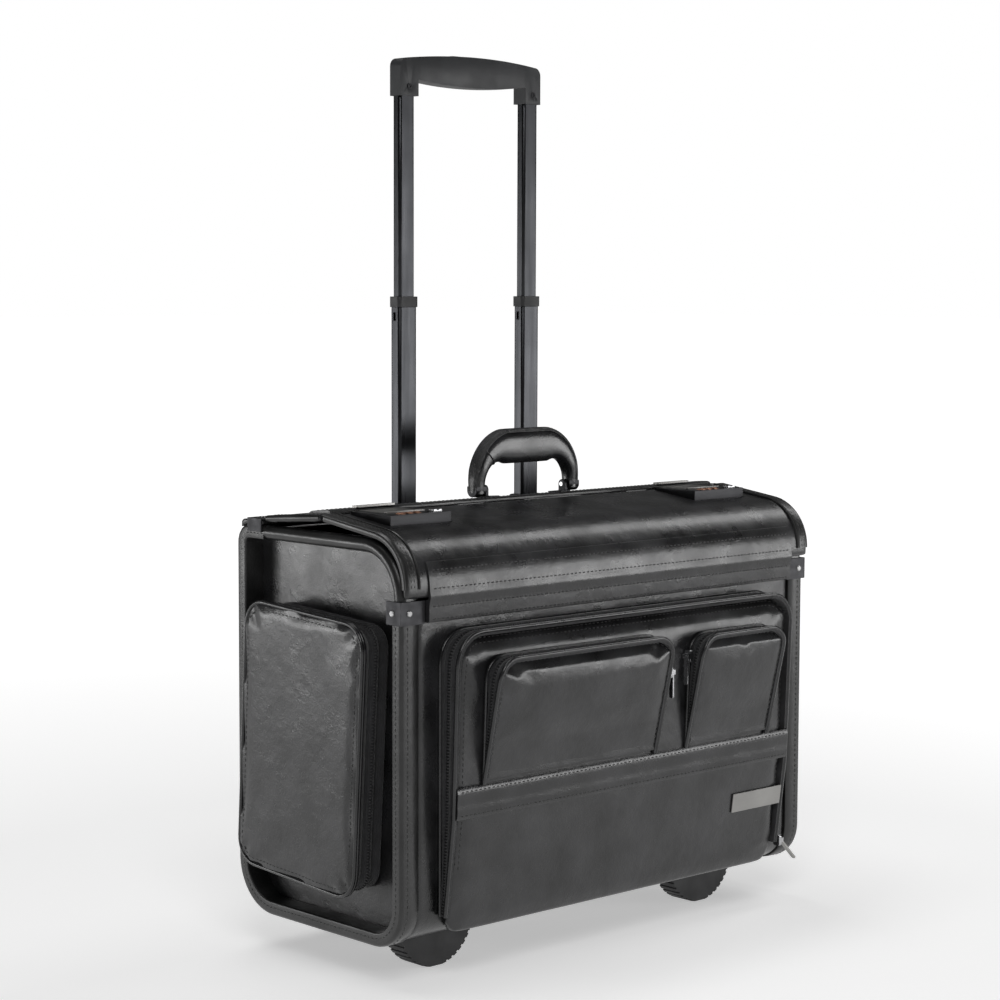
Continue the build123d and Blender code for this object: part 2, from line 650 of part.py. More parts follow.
# ---- locks ----------------------------------------------------------------------------------
DIAL_AXLE = 1.5
DIAL_Y = LOCK_FRONT + 8
DIAL_Z = LOCK_TOP - DIAL_RADIUS + 1.2
FIRST_DIAL = -14            # from the lock's middle
LATCH_WIDTH = 40
LATCH_THICKNESS = 1.8
LATCH_DROP = 0.8            # its middle plane below the lock's top
LATCH_RECESS = 3.4
LATCH_GAP = 0.3
LATCH_KNUCKLE = 2.2
LATCH_HINGE_Y = LOCK_FRONT + 20
LATCH_PIN = 1.2
LATCH_REACH = 97
BUTTON_FROM_MIDDLE = 22
LOCK_BUTTON = (10, 6, 3.2)
LOCK_BUTTON_TRAVEL = 5
LOCK_SLOT_DEPTH = 1.5
DIAL_GAP = 0.4
DIAL_GROOVES = 10
DIAL_GROOVE_RADIUS = 0.5


def dial_places(side):
    """Middles of one lock's three dials along X."""
    return [side * LOCK_X + FIRST_DIAL + DIAL_PITCH * i for i in range(3)]


def lock_body(side):
    """Box set into the lid, with windows for the dials, a slot for the button and a latch hinge."""
    body = lock_footprint(side, 0)
    for x in dial_places(side):
        half = DIAL_WIDTH / 2 + SLIDE_GAP
        window = rod(DIAL_RADIUS + DIAL_GAP, x - half, x + half, DIAL_Y, DIAL_Z)
        body -= window - rod(DIAL_AXLE, x - half, x + half, DIAL_Y, DIAL_Z)
    middle = side * LOCK_X
    slot_x = middle + BUTTON_FROM_MIDDLE
    reach = LOCK_BUTTON[0] / 2 + SLIDE_GAP
    slot_y = (DIAL_Y - LOCK_BUTTON[1] / 2 - SLIDE_GAP, DIAL_Y + LOCK_BUTTON[1] / 2 + SLIDE_GAP)
    slot_x_range = (slot_x - reach - LOCK_BUTTON_TRAVEL, slot_x + reach)
    body -= block(slot_x_range, slot_y, (LOCK_TOP - LOCK_SLOT_DEPTH, LOCK_TOP))
    half = LATCH_WIDTH / 2 + LATCH_GAP
    recess_y = (LATCH_HINGE_Y - LATCH_RECESS, LOCK_FRONT + LOCK_SIZE[1])
    body -= block((middle - half, middle + half), recess_y, (LOCK_TOP - LATCH_RECESS, LOCK_TOP))
    body += rod(LATCH_PIN, middle - half, middle + half, LATCH_HINGE_Y, LOCK_TOP - LATCH_DROP)
    return body


def lock_bodies():
    """Both combination lock cases."""
    return lock_body(-1) + lock_body(1)


def dial(side, index):
    """Code wheel with shallow finger grooves."""
    x = dial_places(side)[index]
    half = DIAL_WIDTH / 2
    wheel = Circle(DIAL_RADIUS) - Circle(DIAL_AXLE + RUNNING_GAP)
    for i in range(DIAL_GROOVES):
        wheel -= Rot(0, 0, 360 * i / DIAL_GROOVES) * Pos(DIAL_RADIUS, 0) * Circle(DIAL_GROOVE_RADIUS)
    return across(Pos(DIAL_Y, DIAL_Z) * wheel, x - half, x + half)


def lock_button(side):
    """Release slider beside the dials."""
    middle = (side * LOCK_X + BUTTON_FROM_MIDDLE, DIAL_Y, LOCK_TOP - LOCK_SLOT_DEPTH + LOCK_BUTTON[2] / 2)
    button = Pos(*middle) * Box(*LOCK_BUTTON)
    button -= Pos(middle[0], middle[1], LOCK_TOP + LOCK_BUTTON[2] / 2) * Box(1, LOCK_BUTTON[1], 1)
    return fillet(button.edges().filter_by(Axis.Z), 1)


def latch(side):
    """Flip-up hasp that reaches back to the catch."""
    middle = side * LOCK_X
    half = LATCH_WIDTH / 2
    hinge_z = LOCK_TOP - LATCH_DROP
    length = LATCH_REACH - LATCH_HINGE_Y
    plate = Pos(LATCH_HINGE_Y + length / 2, hinge_z) * Rectangle(length, LATCH_THICKNESS)
    profile = plate + Pos(LATCH_HINGE_Y, hinge_z) * Circle(LATCH_KNUCKLE)
    profile -= Pos(LATCH_HINGE_Y, hinge_z) * Circle(LATCH_PIN + RUNNING_GAP)
    return across(profile, middle - half, middle + half)


# ---- pockets --------------------------------------------------------------------------------
ZIP_SIDE = 3
POCKET_TOP_CORNER = 26
POCKET_LOW_CORNER = 18
SMALL_CORNER = 18
POCKET_BACK_SET = 8         # how far a pocket's top edge is set back behind its face
SMALL_FACE_DROP = 12        # where a small pocket's face starts to round over
SMALL_LOW_DEPTH = 3
BELLOWS_INSET = 6
BELT_THICKNESS = 2.2
PLATE_THICKNESS = 1.5


def pocket_face_y(z):
    """Depth of the big pocket's front face at a height."""
    for (y_low, z_low), (y_high, z_high) in zip(POCKET_FACE, POCKET_FACE[1:]):
        if z <= z_high:
            return y_low + (y_high - y_low) * (z - z_low) / (z_high - z_low)
    return POCKET_FACE[-1][0]


def pocket_wedge():
    """Side view of the big pocket, thin at the bottom and rounded over at the top."""
    top_front = (POCKET_FACE[-1][0] + POCKET_BACK_SET, POCKET_Z[1])
    under = FRONT_LOW_RADIUS / 2
    outline = Polyline((under, POCKET_Z[0]), *POCKET_FACE, top_front, (under, POCKET_Z[1]), close=True)
    return across(make_face(outline) - side_outline(0), -HALF, HALF)


def pocket_outline(inset):
    """Front view of the big pocket, drawn inset millimetres inside its sides and top."""
    x = (POCKET_X[0] + inset, POCKET_X[1] - inset)
    return rounded(x, (POCKET_Z[0], POCKET_Z[1] - inset), POCKET_TOP_CORNER - inset, POCKET_LOW_CORNER)


def front_pocket():
    """Big front pocket, inside its zip."""
    return pocket_wedge() & forward(pocket_outline(ZIP_SIDE), -CASE_DEPTH, CASE_DEPTH)


def front_pocket_zip():
    """Zip along the sides and top of the big pocket."""
    ring = forward(pocket_outline(0) - pocket_outline(ZIP_SIDE), -CASE_DEPTH, CASE_DEPTH)
    zip_low = POCKET_Z[0] + POCKET_LOW_CORNER
    return ring & pocket_wedge() & block((-HALF, HALF), (-CASE_DEPTH, CASE_DEPTH), (zip_low, POCKET_Z[1]))


def against_pocket(x, z, thickness):
    """Sheet on the big pocket's sloping front."""
    heights = [z[0]] + [level for _, level in POCKET_FACE if z[0] < level < z[1]] + [z[1]]
    back = [(pocket_face_y(level), level) for level in heights]
    front = [(y - thickness, level) for y, level in reversed(back)]
    return across(make_face(Polyline(*back, *front, close=True)), *x)


def belt_strap():
    """Stitched band across the big pocket, under the small ones."""
    return against_pocket((POCKET_X[0] + ZIP_SIDE, POCKET_X[1] - ZIP_SIDE), BELT_Z, BELT_THICKNESS)


def small_pocket(name):
    """Wedge pocket that stands out most at its top."""
    left, right, low, high = SMALL_POCKETS[name]
    back = [(pocket_face_y(level), level) for level in (low, high)]
    face_top = back[1][0] - SMALL_PROUD
    face = ((back[0][0] - SMALL_LOW_DEPTH, low), (face_top, high - SMALL_FACE_DROP))
    outline = Polyline(back[0], *face, (face_top + POCKET_BACK_SET, high), back[1], close=True)
    wedge = across(make_face(outline), left, right)
    return wedge & forward(rounded((left, right), (low, high), SMALL_CORNER, 0), -CASE_DEPTH, 0)


def nameplate():
    """Blank metal plate low on the big pocket."""
    return against_pocket(PLATE[:2], PLATE[2:], PLATE_THICKNESS)


def side_pocket_outline(inset):
    """Side view of the side pocket, drawn inset millimetres inside its panel's edge."""
    y, z = ((low + inset, high - inset) for low, high in (SIDE_POCKET_Y, SIDE_POCKET_Z))
    outline = rounded(y, z, SIDE_POCKET_RADIUS - inset, SIDE_POCKET_RADIUS - inset)
    middle = Pos(sum(y) / 2, sum(z) / 2)
    return middle * Rot(0, 0, SIDE_POCKET_TILT) * middle.inverse() * outline


def side_pocket():
    """Bellows of the side pocket, against the left end wall."""
    outer = -HALF - SIDE_POCKET_PROUD
    return across(side_pocket_outline(BELLOWS_INSET), outer + PANEL_THICKNESS, -RIM_INNER)


def side_pocket_panel():
    """Flat outer panel of the side pocket."""
    outer = -HALF - SIDE_POCKET_PROUD
    return across(side_pocket_outline(0), outer, outer + PANEL_THICKNESS)


# ---- zip sliders and pulls ------------------------------------------------------------------
SLIDER_BODY = (3.5, 7, 10)
LUG_REACH = 2.5
LUG_THICKNESS = 1.2
LUG_HEIGHT = 4
ZIP_PIN = 0.7
PIN_OUT = 5                 # pin's distance from the pocket's side
ZIP_CLEAR = 0.1
PULL_THICKNESS = 1.4
EYE_RADIUS = 1.4


def zip_slider(face_x, outward, y, z):
    """Slider on the side of a pocket, with two lugs and a pin for its pull."""
    depth, width, height = SLIDER_BODY
    body = block((ZIP_CLEAR, depth), (-width / 2, width / 2), (-height / 2, height / 2))
    body = fillet(body.edges().filter_by(Axis.X), 2)
    for direction in (-1, 1):
        lug_y = direction * (width - LUG_THICKNESS) / 2
        body += Pos(depth + LUG_REACH / 2, lug_y, 0) * Box(LUG_REACH, LUG_THICKNESS, LUG_HEIGHT)
    body += Pos(PIN_OUT, 0, 0) * Rot(90, 0, 0) * Cylinder(ZIP_PIN, width)
    return Pos(face_x, y, z) * (body if outward > 0 else mirror(body, Plane.YZ))


def zip_pull(face_x, outward, y, z, length, lean):
    """Flat pull on a slider's pin, leaning away from the pocket."""
    width = SLIDER_BODY[1] - 2 * LUG_THICKNESS - 4 * ZIP_CLEAR
    plate = Pos(0, 0, -length / 2) * Box(PULL_THICKNESS, width, length)
    plate = fillet(plate.edges().filter_by(Axis.X).sort_by(Axis.Z)[:2], width / 3)
    plate += Rot(90, 0, 0) * Cylinder(EYE_RADIUS, width)
    plate -= Rot(90, 0, 0) * Cylinder(ZIP_PIN + RUNNING_GAP, width)
    hung = Pos(PIN_OUT, 0, 0) * Rot(0, -lean, 0) * plate
    return Pos(face_x, y, z) * (hung if outward > 0 else mirror(hung, Plane.YZ))


# Each zip: face it rides on, outward direction, depth, height, pull length and lean in degrees.
ZIPS = {
    "main": (POCKET_X[1], 1, -6, 57, 28, 45),
    "left": (SMALL_POCKETS["left"][1], 1, -30, 228, 22, 0),
    "right": (SMALL_POCKETS["right"][0], -1, -25, 238, 24, 0),
}


# ---- writing --------------------------------------------------------------------------------
def all_parts():
    """Every sub-part by name."""
    parts = {
        "shell_wrap": shell_wrap(),
        "side_panel_left": side_panel(-1),
        "side_panel_right": side_panel(1),
        "side_rims": side_rims(),
        "side_rails": side_rails(),
        "corner_brackets": corner_brackets(),
        "bracket_rivets": bracket_rivets(),
        "rear_deck": rear_deck(),
        "tube_bezels": tube_bezels(),
        "outer_tubes": outer_tubes(),
        "tube_foot_bracket": tube_foot_bracket(),
        "wheel_housings": wheel_housings(),
        "wheel_axles": wheel_axles(),
        "front_feet": front_feet(),
        "foot_screws": foot_screws(),
        "front_pocket": front_pocket(),
        "front_pocket_zip": front_pocket_zip(),
        "belt_strap": belt_strap(),
        "small_pocket_left": small_pocket("left"),
        "small_pocket_right": small_pocket("right"),
        "nameplate": nameplate(),
        "side_pocket": side_pocket(),
        "side_pocket_panel": side_pocket_panel(),
        "front_hinge_band": front_hinge_band(),
        "front_lid_board": front_lid_board(),
        "lock_bodies": lock_bodies(),
        "rear_lid_board": rear_lid_board(),
        "centre_rail": centre_rail(),
        "catch_plates": catch_plates(),
        "handle_brackets": handle_brackets(),
        "handle_pins": handle_pins(),
        "carry_handle_grip": carry_handle_grip(),
        "carry_handle_ends": carry_handle_ends(),
        "middle_tubes": middle_tubes(),
        "tube_collars": tube_collars(),
        "upper_tubes": upper_tubes(),
        "grip_shell": grip_shell(),
        "grip_screws": grip_screws(),
        "release_button": release_button(),
        "release_rods": release_rods(),
    }
    for name, (face_x, outward, y, z, length, lean) in ZIPS.items():
        parts[f"zip_slider_{name}"] = zip_slider(face_x, outward, y, z)
        parts[f"zip_pull_{name}"] = zip_pull(face_x, outward, y, z, length, lean)
    for side, name in ((-1, "left"), (1, "right")):
        parts[f"wheel_hub_{name}"] = wheel_hub(side)
        parts[f"tyre_{name}"] = tyre(side)
        parts[f"latch_{name}"] = latch(side)
        parts[f"lock_button_{name}"] = lock_button(side)
        for index in range(3):
            parts[f"dial_{name}_{index + 1}"] = dial(side, index)
    return parts


left_end = -HALF - SIDE_POCKET_PROUD
right_end = HALF + BRACKET_SHEET + RIVET_PROUD
front_end = pocket_face_y(SMALL_POCKETS["left"][3]) - SMALL_PROUD
back_end = CASE_DEPTH + RIM_PROUD
to_origin = Pos(-(left_end + right_end) / 2, -(front_end + back_end) / 2, 0)
os.makedirs("parts", exist_ok=True)
for name, shape in all_parts().items():
    export_step(to_origin * shape, f"parts/{name}.step")
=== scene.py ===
import math

import bmesh
import bpy
import numpy as np
from mathutils import Matrix, Vector, noise
from mathutils.bvhtree import BVHTree


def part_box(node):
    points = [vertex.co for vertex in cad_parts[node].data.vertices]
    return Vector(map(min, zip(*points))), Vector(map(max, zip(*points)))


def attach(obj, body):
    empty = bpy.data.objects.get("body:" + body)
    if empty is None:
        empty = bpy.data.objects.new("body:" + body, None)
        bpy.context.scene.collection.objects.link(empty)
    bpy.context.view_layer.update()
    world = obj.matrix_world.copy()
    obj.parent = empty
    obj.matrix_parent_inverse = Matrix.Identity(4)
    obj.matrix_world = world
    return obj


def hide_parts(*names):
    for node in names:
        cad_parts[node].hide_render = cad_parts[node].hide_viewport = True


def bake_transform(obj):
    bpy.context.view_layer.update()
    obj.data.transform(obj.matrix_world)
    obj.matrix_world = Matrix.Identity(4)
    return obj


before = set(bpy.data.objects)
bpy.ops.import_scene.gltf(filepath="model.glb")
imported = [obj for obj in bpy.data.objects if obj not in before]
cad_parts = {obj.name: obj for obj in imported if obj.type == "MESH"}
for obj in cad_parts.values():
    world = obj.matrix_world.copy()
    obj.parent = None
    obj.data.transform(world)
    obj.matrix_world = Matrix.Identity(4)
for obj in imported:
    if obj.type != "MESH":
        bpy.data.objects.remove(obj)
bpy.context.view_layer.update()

# Everything is measured in millimetres from the case's middle plane, its front wall and the floor,
# and is turned into the frame's metres in one place, built().

MM = 0.001
wrap_corner, wrap_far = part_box("shell_wrap")
CASE_ORIGIN = Vector(((wrap_corner.x + wrap_far.x) / 2, wrap_corner.y, 0))


def span(node):
    """Low and high corners of a CAD node."""
    low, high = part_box(node)
    return (low - CASE_ORIGIN) / MM, (high - CASE_ORIGIN) / MM


# ---- sizes read from the frame ----------------------------------------------------------------
WRAP_LOW, WRAP_HIGH = span("shell_wrap")
RIM_LOW, RIM_HIGH = span("side_rims")
LID_LOW, LID_HIGH = span("front_lid_board")
BAND_LOW, BAND_HIGH = span("front_hinge_band")
POCKET_LOW, POCKET_HIGH = span("front_pocket")
ZIP_LOW, ZIP_HIGH = span("front_pocket_zip")
BELT_LOW, BELT_HIGH = span("belt_strap")
HANDLE_LOW, HANDLE_HIGH = span("carry_handle_grip")
SIDE_LOW, SIDE_HIGH = span("side_pocket_panel")

HALF = RIM_HIGH.x
RIM_INNER = WRAP_HIGH.x
DEPTH = WRAP_HIGH.y
CASE_FLOOR = WRAP_LOW.z
SIDE_TOP = WRAP_HIGH.z
RIM_PROUD = -RIM_LOW.y
DECK_FRONT = 170
FRONT_LOW_RADIUS = 32
BACK_LOW_RADIUS = 42
FRONT_TOP_RADIUS = 45
BACK_TOP_RADIUS = 14


# ---- finishes -----------------------------------------------------------------------------------
class Finish:
    """A principled material whose inputs are driven by procedural textures."""

    def __init__(self, name):
        self.material = bpy.data.materials.new(name)
        self.material.use_nodes = True
        self.nodes = self.material.node_tree.nodes
        self.links = self.material.node_tree.links
        self.shader = self.nodes["Principled BSDF"]
        self.place = self.nodes.new("ShaderNodeTexCoord").outputs["Object"]

    def stretched(self, stretch):
        """Texture coordinates, stretched along an axis for brushed or streaked looks."""
        mapping = self.nodes.new("ShaderNodeMapping")
        mapping.inputs["Scale"].default_value = stretch
        self.links.new(self.place, mapping.inputs["Vector"])
        return mapping.outputs["Vector"]

    def cloudy(self, scale, detail=4, stretch=(1, 1, 1)):
        """Noise between 0 and 1."""
        node = self.nodes.new("ShaderNodeTexNoise")
        node.inputs["Scale"].default_value = scale
        node.inputs["Detail"].default_value = detail
        self.links.new(self.stretched(stretch), node.inputs["Vector"])
        return node.outputs["Fac"]

    def cells(self, scale):
        """Distance to the nearest pebble of a grain."""
        node = self.nodes.new("ShaderNodeTexVoronoi")
        node.inputs["Scale"].default_value = scale
        self.links.new(self.place, node.inputs["Vector"])
        return node.outputs["Distance"]

    def waves(self, scale, direction):
        """Regular ridges, as in woven tape."""
        node = self.nodes.new("ShaderNodeTexWave")
        node.bands_direction = direction
        node.inputs["Scale"].default_value = scale
        self.links.new(self.place, node.inputs["Vector"])
        return node.outputs["Fac"]

    def between(self, value, low, high, start=0.3, end=0.7):
        """Maps a texture to a range of numbers."""
        node = self.nodes.new("ShaderNodeMapRange")
        node.inputs["From Min"].default_value = start
        node.inputs["From Max"].default_value = end
        node.inputs["To Min"].default_value = low
        node.inputs["To Max"].default_value = high
        self.links.new(value, node.inputs["Value"])
        return node.outputs["Result"]

    def mixed(self, factor, first, second):
        """Colour between two, each a colour or another output."""
        node = self.nodes.new("ShaderNodeMix")
        node.data_type = "RGBA"
        self.links.new(factor, node.inputs["Factor"])
        for socket, colour in ((node.inputs[6], first), (node.inputs[7], second)):
            if isinstance(colour, tuple):
                socket.default_value = (*colour, 1)
            else:
                self.links.new(colour, socket)
        return node.outputs[2]

    def coloured(self, colour, spread, scale, wear=0.0):
        """Patchy base colour, lighter on worn edges."""
        dark = tuple(part * (1 - spread) for part in colour)
        light = tuple(part * (1 + spread) for part in colour)
        patches = self.mixed(self.between(self.cloudy(scale), 0, 1), dark, light)
        if wear:
            pointed = self.nodes.new("ShaderNodeNewGeometry").outputs["Pointiness"]
            edge = self.between(pointed, 0, wear, 0.56, 0.7)
            patches = self.mixed(edge, patches, tuple(min(1, 3 * part + 0.03) for part in colour))
        self.links.new(patches, self.shader.inputs["Base Color"])

    def rough(self, low, high, scale, stretch=(1, 1, 1)):
        """Uneven roughness."""
        value = self.between(self.cloudy(scale, 6, stretch), low, high)
        self.links.new(value, self.shader.inputs["Roughness"])

    def bumped(self, *layers):
        """Relief from (texture, depth in millimetres) layers."""
        normal = None
        for texture, depth in layers:
            bump = self.nodes.new("ShaderNodeBump")
            bump.inputs["Distance"].default_value = depth * MM
            self.links.new(texture, bump.inputs["Height"])
            if normal:
                self.links.new(normal, bump.inputs["Normal"])
            normal = bump.outputs["Normal"]
        self.links.new(normal, self.shader.inputs["Normal"])

    def having(self, **values):
        """Sets plain inputs of the shader by name."""
        for name, value in values.items():
            socket = name.replace("_", " ").title().replace("Ior", "IOR")
            self.shader.inputs[socket].default_value = value
        return self.material


def leather(name, colour, low, high, grain, creases):
    """Glossy grained leather with soft creases."""
    finish = Finish(name)
    finish.coloured(colour, 0.85, 28, wear=0.15)
    finish.rough(low, high, 34)
    pebbles = (finish.cells(780), grain)
    fine = (finish.cloudy(420, 6), grain)
    mottled = (finish.cloudy(115, 5), 5 * grain)
    broad = (finish.cloudy(26, 3), creases)
    finish.bumped(broad, mottled, pebbles, fine)
    return finish.having(coat_weight=0.35, coat_roughness=0.2)


def woven(name, colour, ribs):
    """Ribbed tape or lining cloth."""
    finish = Finish(name)
    finish.coloured(colour, 0.4, 60)
    finish.rough(0.6, 0.85, 90)
    finish.bumped((finish.waves(ribs, "Z"), 0.25), (finish.waves(ribs, "X"), 0.2), (finish.cloudy(900), 0.1))
    return finish.having(sheen_weight=0.25)


def metal(name, colour, low, high, stretch, metallic=1.0):
    """Brushed, plated or anodised metal; stretch sets the brushing's direction."""
    finish = Finish(name)
    finish.coloured(colour, 0.12, 30, wear=0.4)
    finish.rough(low, high, 160, stretch)
    finish.bumped((finish.cloudy(500, 4, stretch), 0.02), (finish.cloudy(40, 3), 0.03))
    return finish.having(metallic=metallic)


def plastic(name, colour, low, high, texture):
    """Moulded plastic or rubber with a fine spark-eroded texture."""
    finish = Finish(name)
    finish.coloured(colour, 0.2, 40, wear=0.3)
    finish.rough(low, high, 55)
    finish.bumped((finish.cloudy(1500, 4), texture), (finish.cloudy(60, 3), 0.08))
    return finish.having(ior=1.5)


ALONG_X = (0.05, 1, 1)
ALONG_Z = (1, 1, 0.05)
LEATHER = leather("black_leather", (0.016, 0.016, 0.017), 0.2, 0.42, 0.08, 1.1)
SMOOTH_LEATHER = leather("smooth_leather", (0.011, 0.011, 0.012), 0.16, 0.34, 0.06, 0.6)
EDGE_LEATHER = leather("edge_leather", (0.012, 0.012, 0.012), 0.28, 0.5, 0.07, 0.4)
HANDLE_LEATHER = leather("handle_leather", (0.018, 0.018, 0.019), 0.3, 0.46, 0.4, 0.2)
TAPE = woven("zip_tape", (0.02, 0.02, 0.022), 320)
THREAD = woven("thread", (0.05, 0.05, 0.05), 900)
# Pale thread for the stitches at the back of the rims: a painted highlight for the glint along them.
HIGHLIGHT_THREAD = woven("thread_painted_highlight", (0.32, 0.32, 0.31), 900)
BRACKET_METAL = metal("bracket_metal", (0.06, 0.06, 0.064), 0.42, 0.6, (1, 1, 1), 0.7)
BRIGHT_METAL = metal("bright_metal", (0.42, 0.42, 0.43), 0.16, 0.3, (1, 1, 1))
LOCK_METAL = metal("lock_metal", (0.03, 0.03, 0.032), 0.34, 0.5, ALONG_X, 0.8)
PLATE_METAL = metal("plate_metal", (0.3, 0.295, 0.285), 0.3, 0.46, ALONG_X)
DIAL_METAL = metal("dial_metal", (0.36, 0.19, 0.13), 0.28, 0.42, (1, 1, 1))
TUBE_METAL = metal("tube_metal", (0.042, 0.043, 0.046), 0.22, 0.36, ALONG_Z)
INNER_TUBE = metal("inner_tube", (0.5, 0.5, 0.52), 0.3, 0.45, ALONG_Z)
STEEL = metal("steel", (0.3, 0.3, 0.3), 0.25, 0.45, (1, 1, 1))
DARK_PLASTIC = plastic("dark_plastic", (0.02, 0.02, 0.021), 0.4, 0.58, 0.05)
GRIP_PLASTIC = plastic("grip_plastic", (0.024, 0.025, 0.027), 0.4, 0.58, 0.06)
FOOT_RUBBER = plastic("foot_rubber", (0.035, 0.035, 0.036), 0.6, 0.8, 0.1)
TYRE_RUBBER = plastic("wheel_tyre", (0.022, 0.022, 0.022), 0.55, 0.75, 0.12)


# ---- building meshes ----------------------------------------------------------------------------
def unit(vectors):
    """Rows scaled to length one."""
    return vectors / np.maximum(np.linalg.norm(vectors, axis=-1, keepdims=True), 1e-9)


def built(name, pieces, material, body=None, stands_for=(), flat_over=40):
    """Object made of (vertices, faces) pieces in millimetres, riding on a body."""
    verts, faces = [], []
    for piece_verts, piece_faces in pieces:
        offset = len(verts)
        verts += [CASE_ORIGIN + Vector(vert) * MM for vert in piece_verts]
        faces += [[index + offset for index in face] for face in piece_faces]
    mesh = bpy.data.meshes.new(name)
    mesh.from_pydata(verts, [], faces)
    shape = bmesh.new()
    shape.from_mesh(mesh)
    bmesh.ops.recalc_face_normals(shape, faces=shape.faces)
    shape.to_mesh(mesh)
    shape.free()
    obj = bpy.data.objects.new(name, mesh)
    bpy.context.scene.collection.objects.link(obj)
    return dressed(obj, material, body, stands_for, flat_over)


def dressed(obj, material, body=None, stands_for=(), flat_over=40):
    """Gives a piece its material and smooth shading, ties it to its body and hides the CAD nodes it stands for."""
    obj.data.materials.clear()
    obj.data.materials.append(material)
    obj.data.shade_smooth()
    obj.data.set_sharp_from_angle(angle=math.radians(flat_over))
    if body:
        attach(obj, body)
    if stands_for:
        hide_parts(*stands_for)
    return obj


def sweep(points, normals, section, closed=False):
    """Carries a section of (across, out) points along a path; normals say which way is out."""
    points = np.array(points, float)
    ahead = np.roll(points, -1, 0) - np.roll(points, 1, 0)
    if not closed:
        ahead[0] = points[1] - points[0]
        ahead[-1] = points[-1] - points[-2]
    along = unit(ahead)
    out = np.broadcast_to(np.array(normals, float), points.shape)
    out = unit(out - (out * along).sum(1, keepdims=True) * along)
    across = np.cross(along, out)
    section = np.array(section, float)
    if section.ndim == 2:
        section = np.broadcast_to(section, (len(points), *section.shape))
    rings = points[:, None] + across[:, None] * section[..., :1] + out[:, None] * section[..., 1:]
    count = section.shape[1]
    last = len(points) if closed else len(points) - 1
    faces = []
    for i in range(last):
        here, there = i * count, (i + 1) % len(points) * count
        for j in range(count):
            side = (j + 1) % count
            faces.append((here + j, here + side, there + side, there + j))
    if not closed:
        faces.append(tuple(range(count)))
        faces.append(tuple(range(len(points) * count - 1, (len(points) - 1) * count - 1, -1)))
    return rings.reshape(-1, 3), faces


def round_section(radius, sides=10):
    """Circle for cords and piping."""
    turns = np.linspace(0, 2 * math.pi, sides, endpoint=False)
    return np.stack((radius * np.cos(turns), radius * np.sin(turns)), 1)


def soft_strip(width, thickness, crown=0.0, steps=10):
    """Section of a strip lying on a surface: flat underneath, rounded edges, raised in the middle."""
    along = np.linspace(-1, 1, steps)
    height = thickness * (1 - along**8) ** 0.5 + crown * (1 - along**2)
    top = np.stack((along * width / 2, height), 1)
    return np.concatenate((top, [(width / 2, -0.2), (-width / 2, -0.2)]))


def spaced(points, step, closed=False):
    """Points at an even spacing along a path."""
    points = np.array(points, float)
    if closed:
        points = np.concatenate((points, points[:1]))
    reach = np.concatenate(([0], np.cumsum(np.linalg.norm(np.diff(points, axis=0), axis=1))))
    count = max(2, round(reach[-1] / step) + 1)
    places = np.linspace(0, reach[-1], count)
    even = np.stack([np.interp(places, reach, points[:, k]) for k in range(points.shape[1])], 1)
    return even[:-1] if closed else even


def curved(middle, radius, start, end, steps=14):
    """Arc between two angles in degrees."""
    turns = np.radians(np.linspace(start, end, steps))
    return [(middle[0] + radius * math.cos(turn), middle[1] + radius * math.sin(turn)) for turn in turns]


def stitches(points, normals, pitch=4.6, length=3.1, width=1.0):
    """A row of sewn stitches lying along a path, each a short rounded thread."""
    points = np.array(points, float)
    normals = np.broadcast_to(np.array(normals, float), points.shape)
    even = spaced(np.concatenate((points, normals), 1), pitch)
    turns = np.linspace(0, 2 * math.pi, 6, endpoint=False)
    pieces = []
    for here, there in zip(even, even[1:]):
        along = unit(there[:3] - here[:3])
        out = unit(here[3:] + there[3:])
        across = np.cross(along, out)
        middle = (here[:3] + there[:3]) / 2
        verts = [middle - along * length / 2]
        for reach in (-0.32, 0.32):
            for turn in turns:
                side = across * math.cos(turn) * width / 2 + out * math.sin(turn) * width * 0.38
                verts.append(middle + along * length * reach + side)
        verts.append(middle + along * length / 2)
        faces = [(0, 1 + (j + 1) % 6, 1 + j) for j in range(6)]
        faces += [(1 + j, 1 + (j + 1) % 6, 7 + (j + 1) % 6, 7 + j) for j in range(6)]
        faces += [(13, 7 + j, 7 + (j + 1) % 6) for j in range(6)]
        pieces.append((verts, faces))
    return pieces


def applied(obj):
    """Turns an object's modifiers into its mesh."""
    graph = bpy.context.evaluated_depsgraph_get()
    mesh = bpy.data.meshes.new_from_object(obj.evaluated_get(graph))
    obj.modifiers.clear()
    obj.data = mesh
    return obj


def places(obj):
    """Vertex places as rows of numbers."""
    values = np.zeros(len(obj.data.vertices) * 3)
    obj.data.vertices.foreach_get("co", values)
    return values.reshape(-1, 3)


def move_to(obj, values):
    """Puts an object's vertices at new places."""
    obj.data.vertices.foreach_set("co", np.asarray(values, np.float32).ravel())
    obj.data.update()


def soft_copy(name, node, voxel, rounds, shrink=0.0):
    """Even copy of a CAD solid with its edges rounded off, in the frame's metres."""
    obj = bpy.data.objects.new(name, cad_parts[node].data.copy())
    bpy.context.scene.collection.objects.link(obj)
    shape = bmesh.new()
    shape.from_mesh(obj.data)
    bmesh.ops.remove_doubles(shape, verts=shape.verts, dist=1e-6)
    shape.to_mesh(obj.data)
    shape.free()
    remesh = obj.modifiers.new("even", "REMESH")
    remesh.mode = "VOXEL"
    remesh.voxel_size = voxel * MM
    smooth = obj.modifiers.new("smooth", "SMOOTH")
    smooth.factor = 0.5
    smooth.iterations = rounds
    applied(obj)
    if shrink:
        normals = np.array([vert.normal for vert in obj.data.vertices])
        move_to(obj, places(obj) - normals * shrink * MM)
    return obj


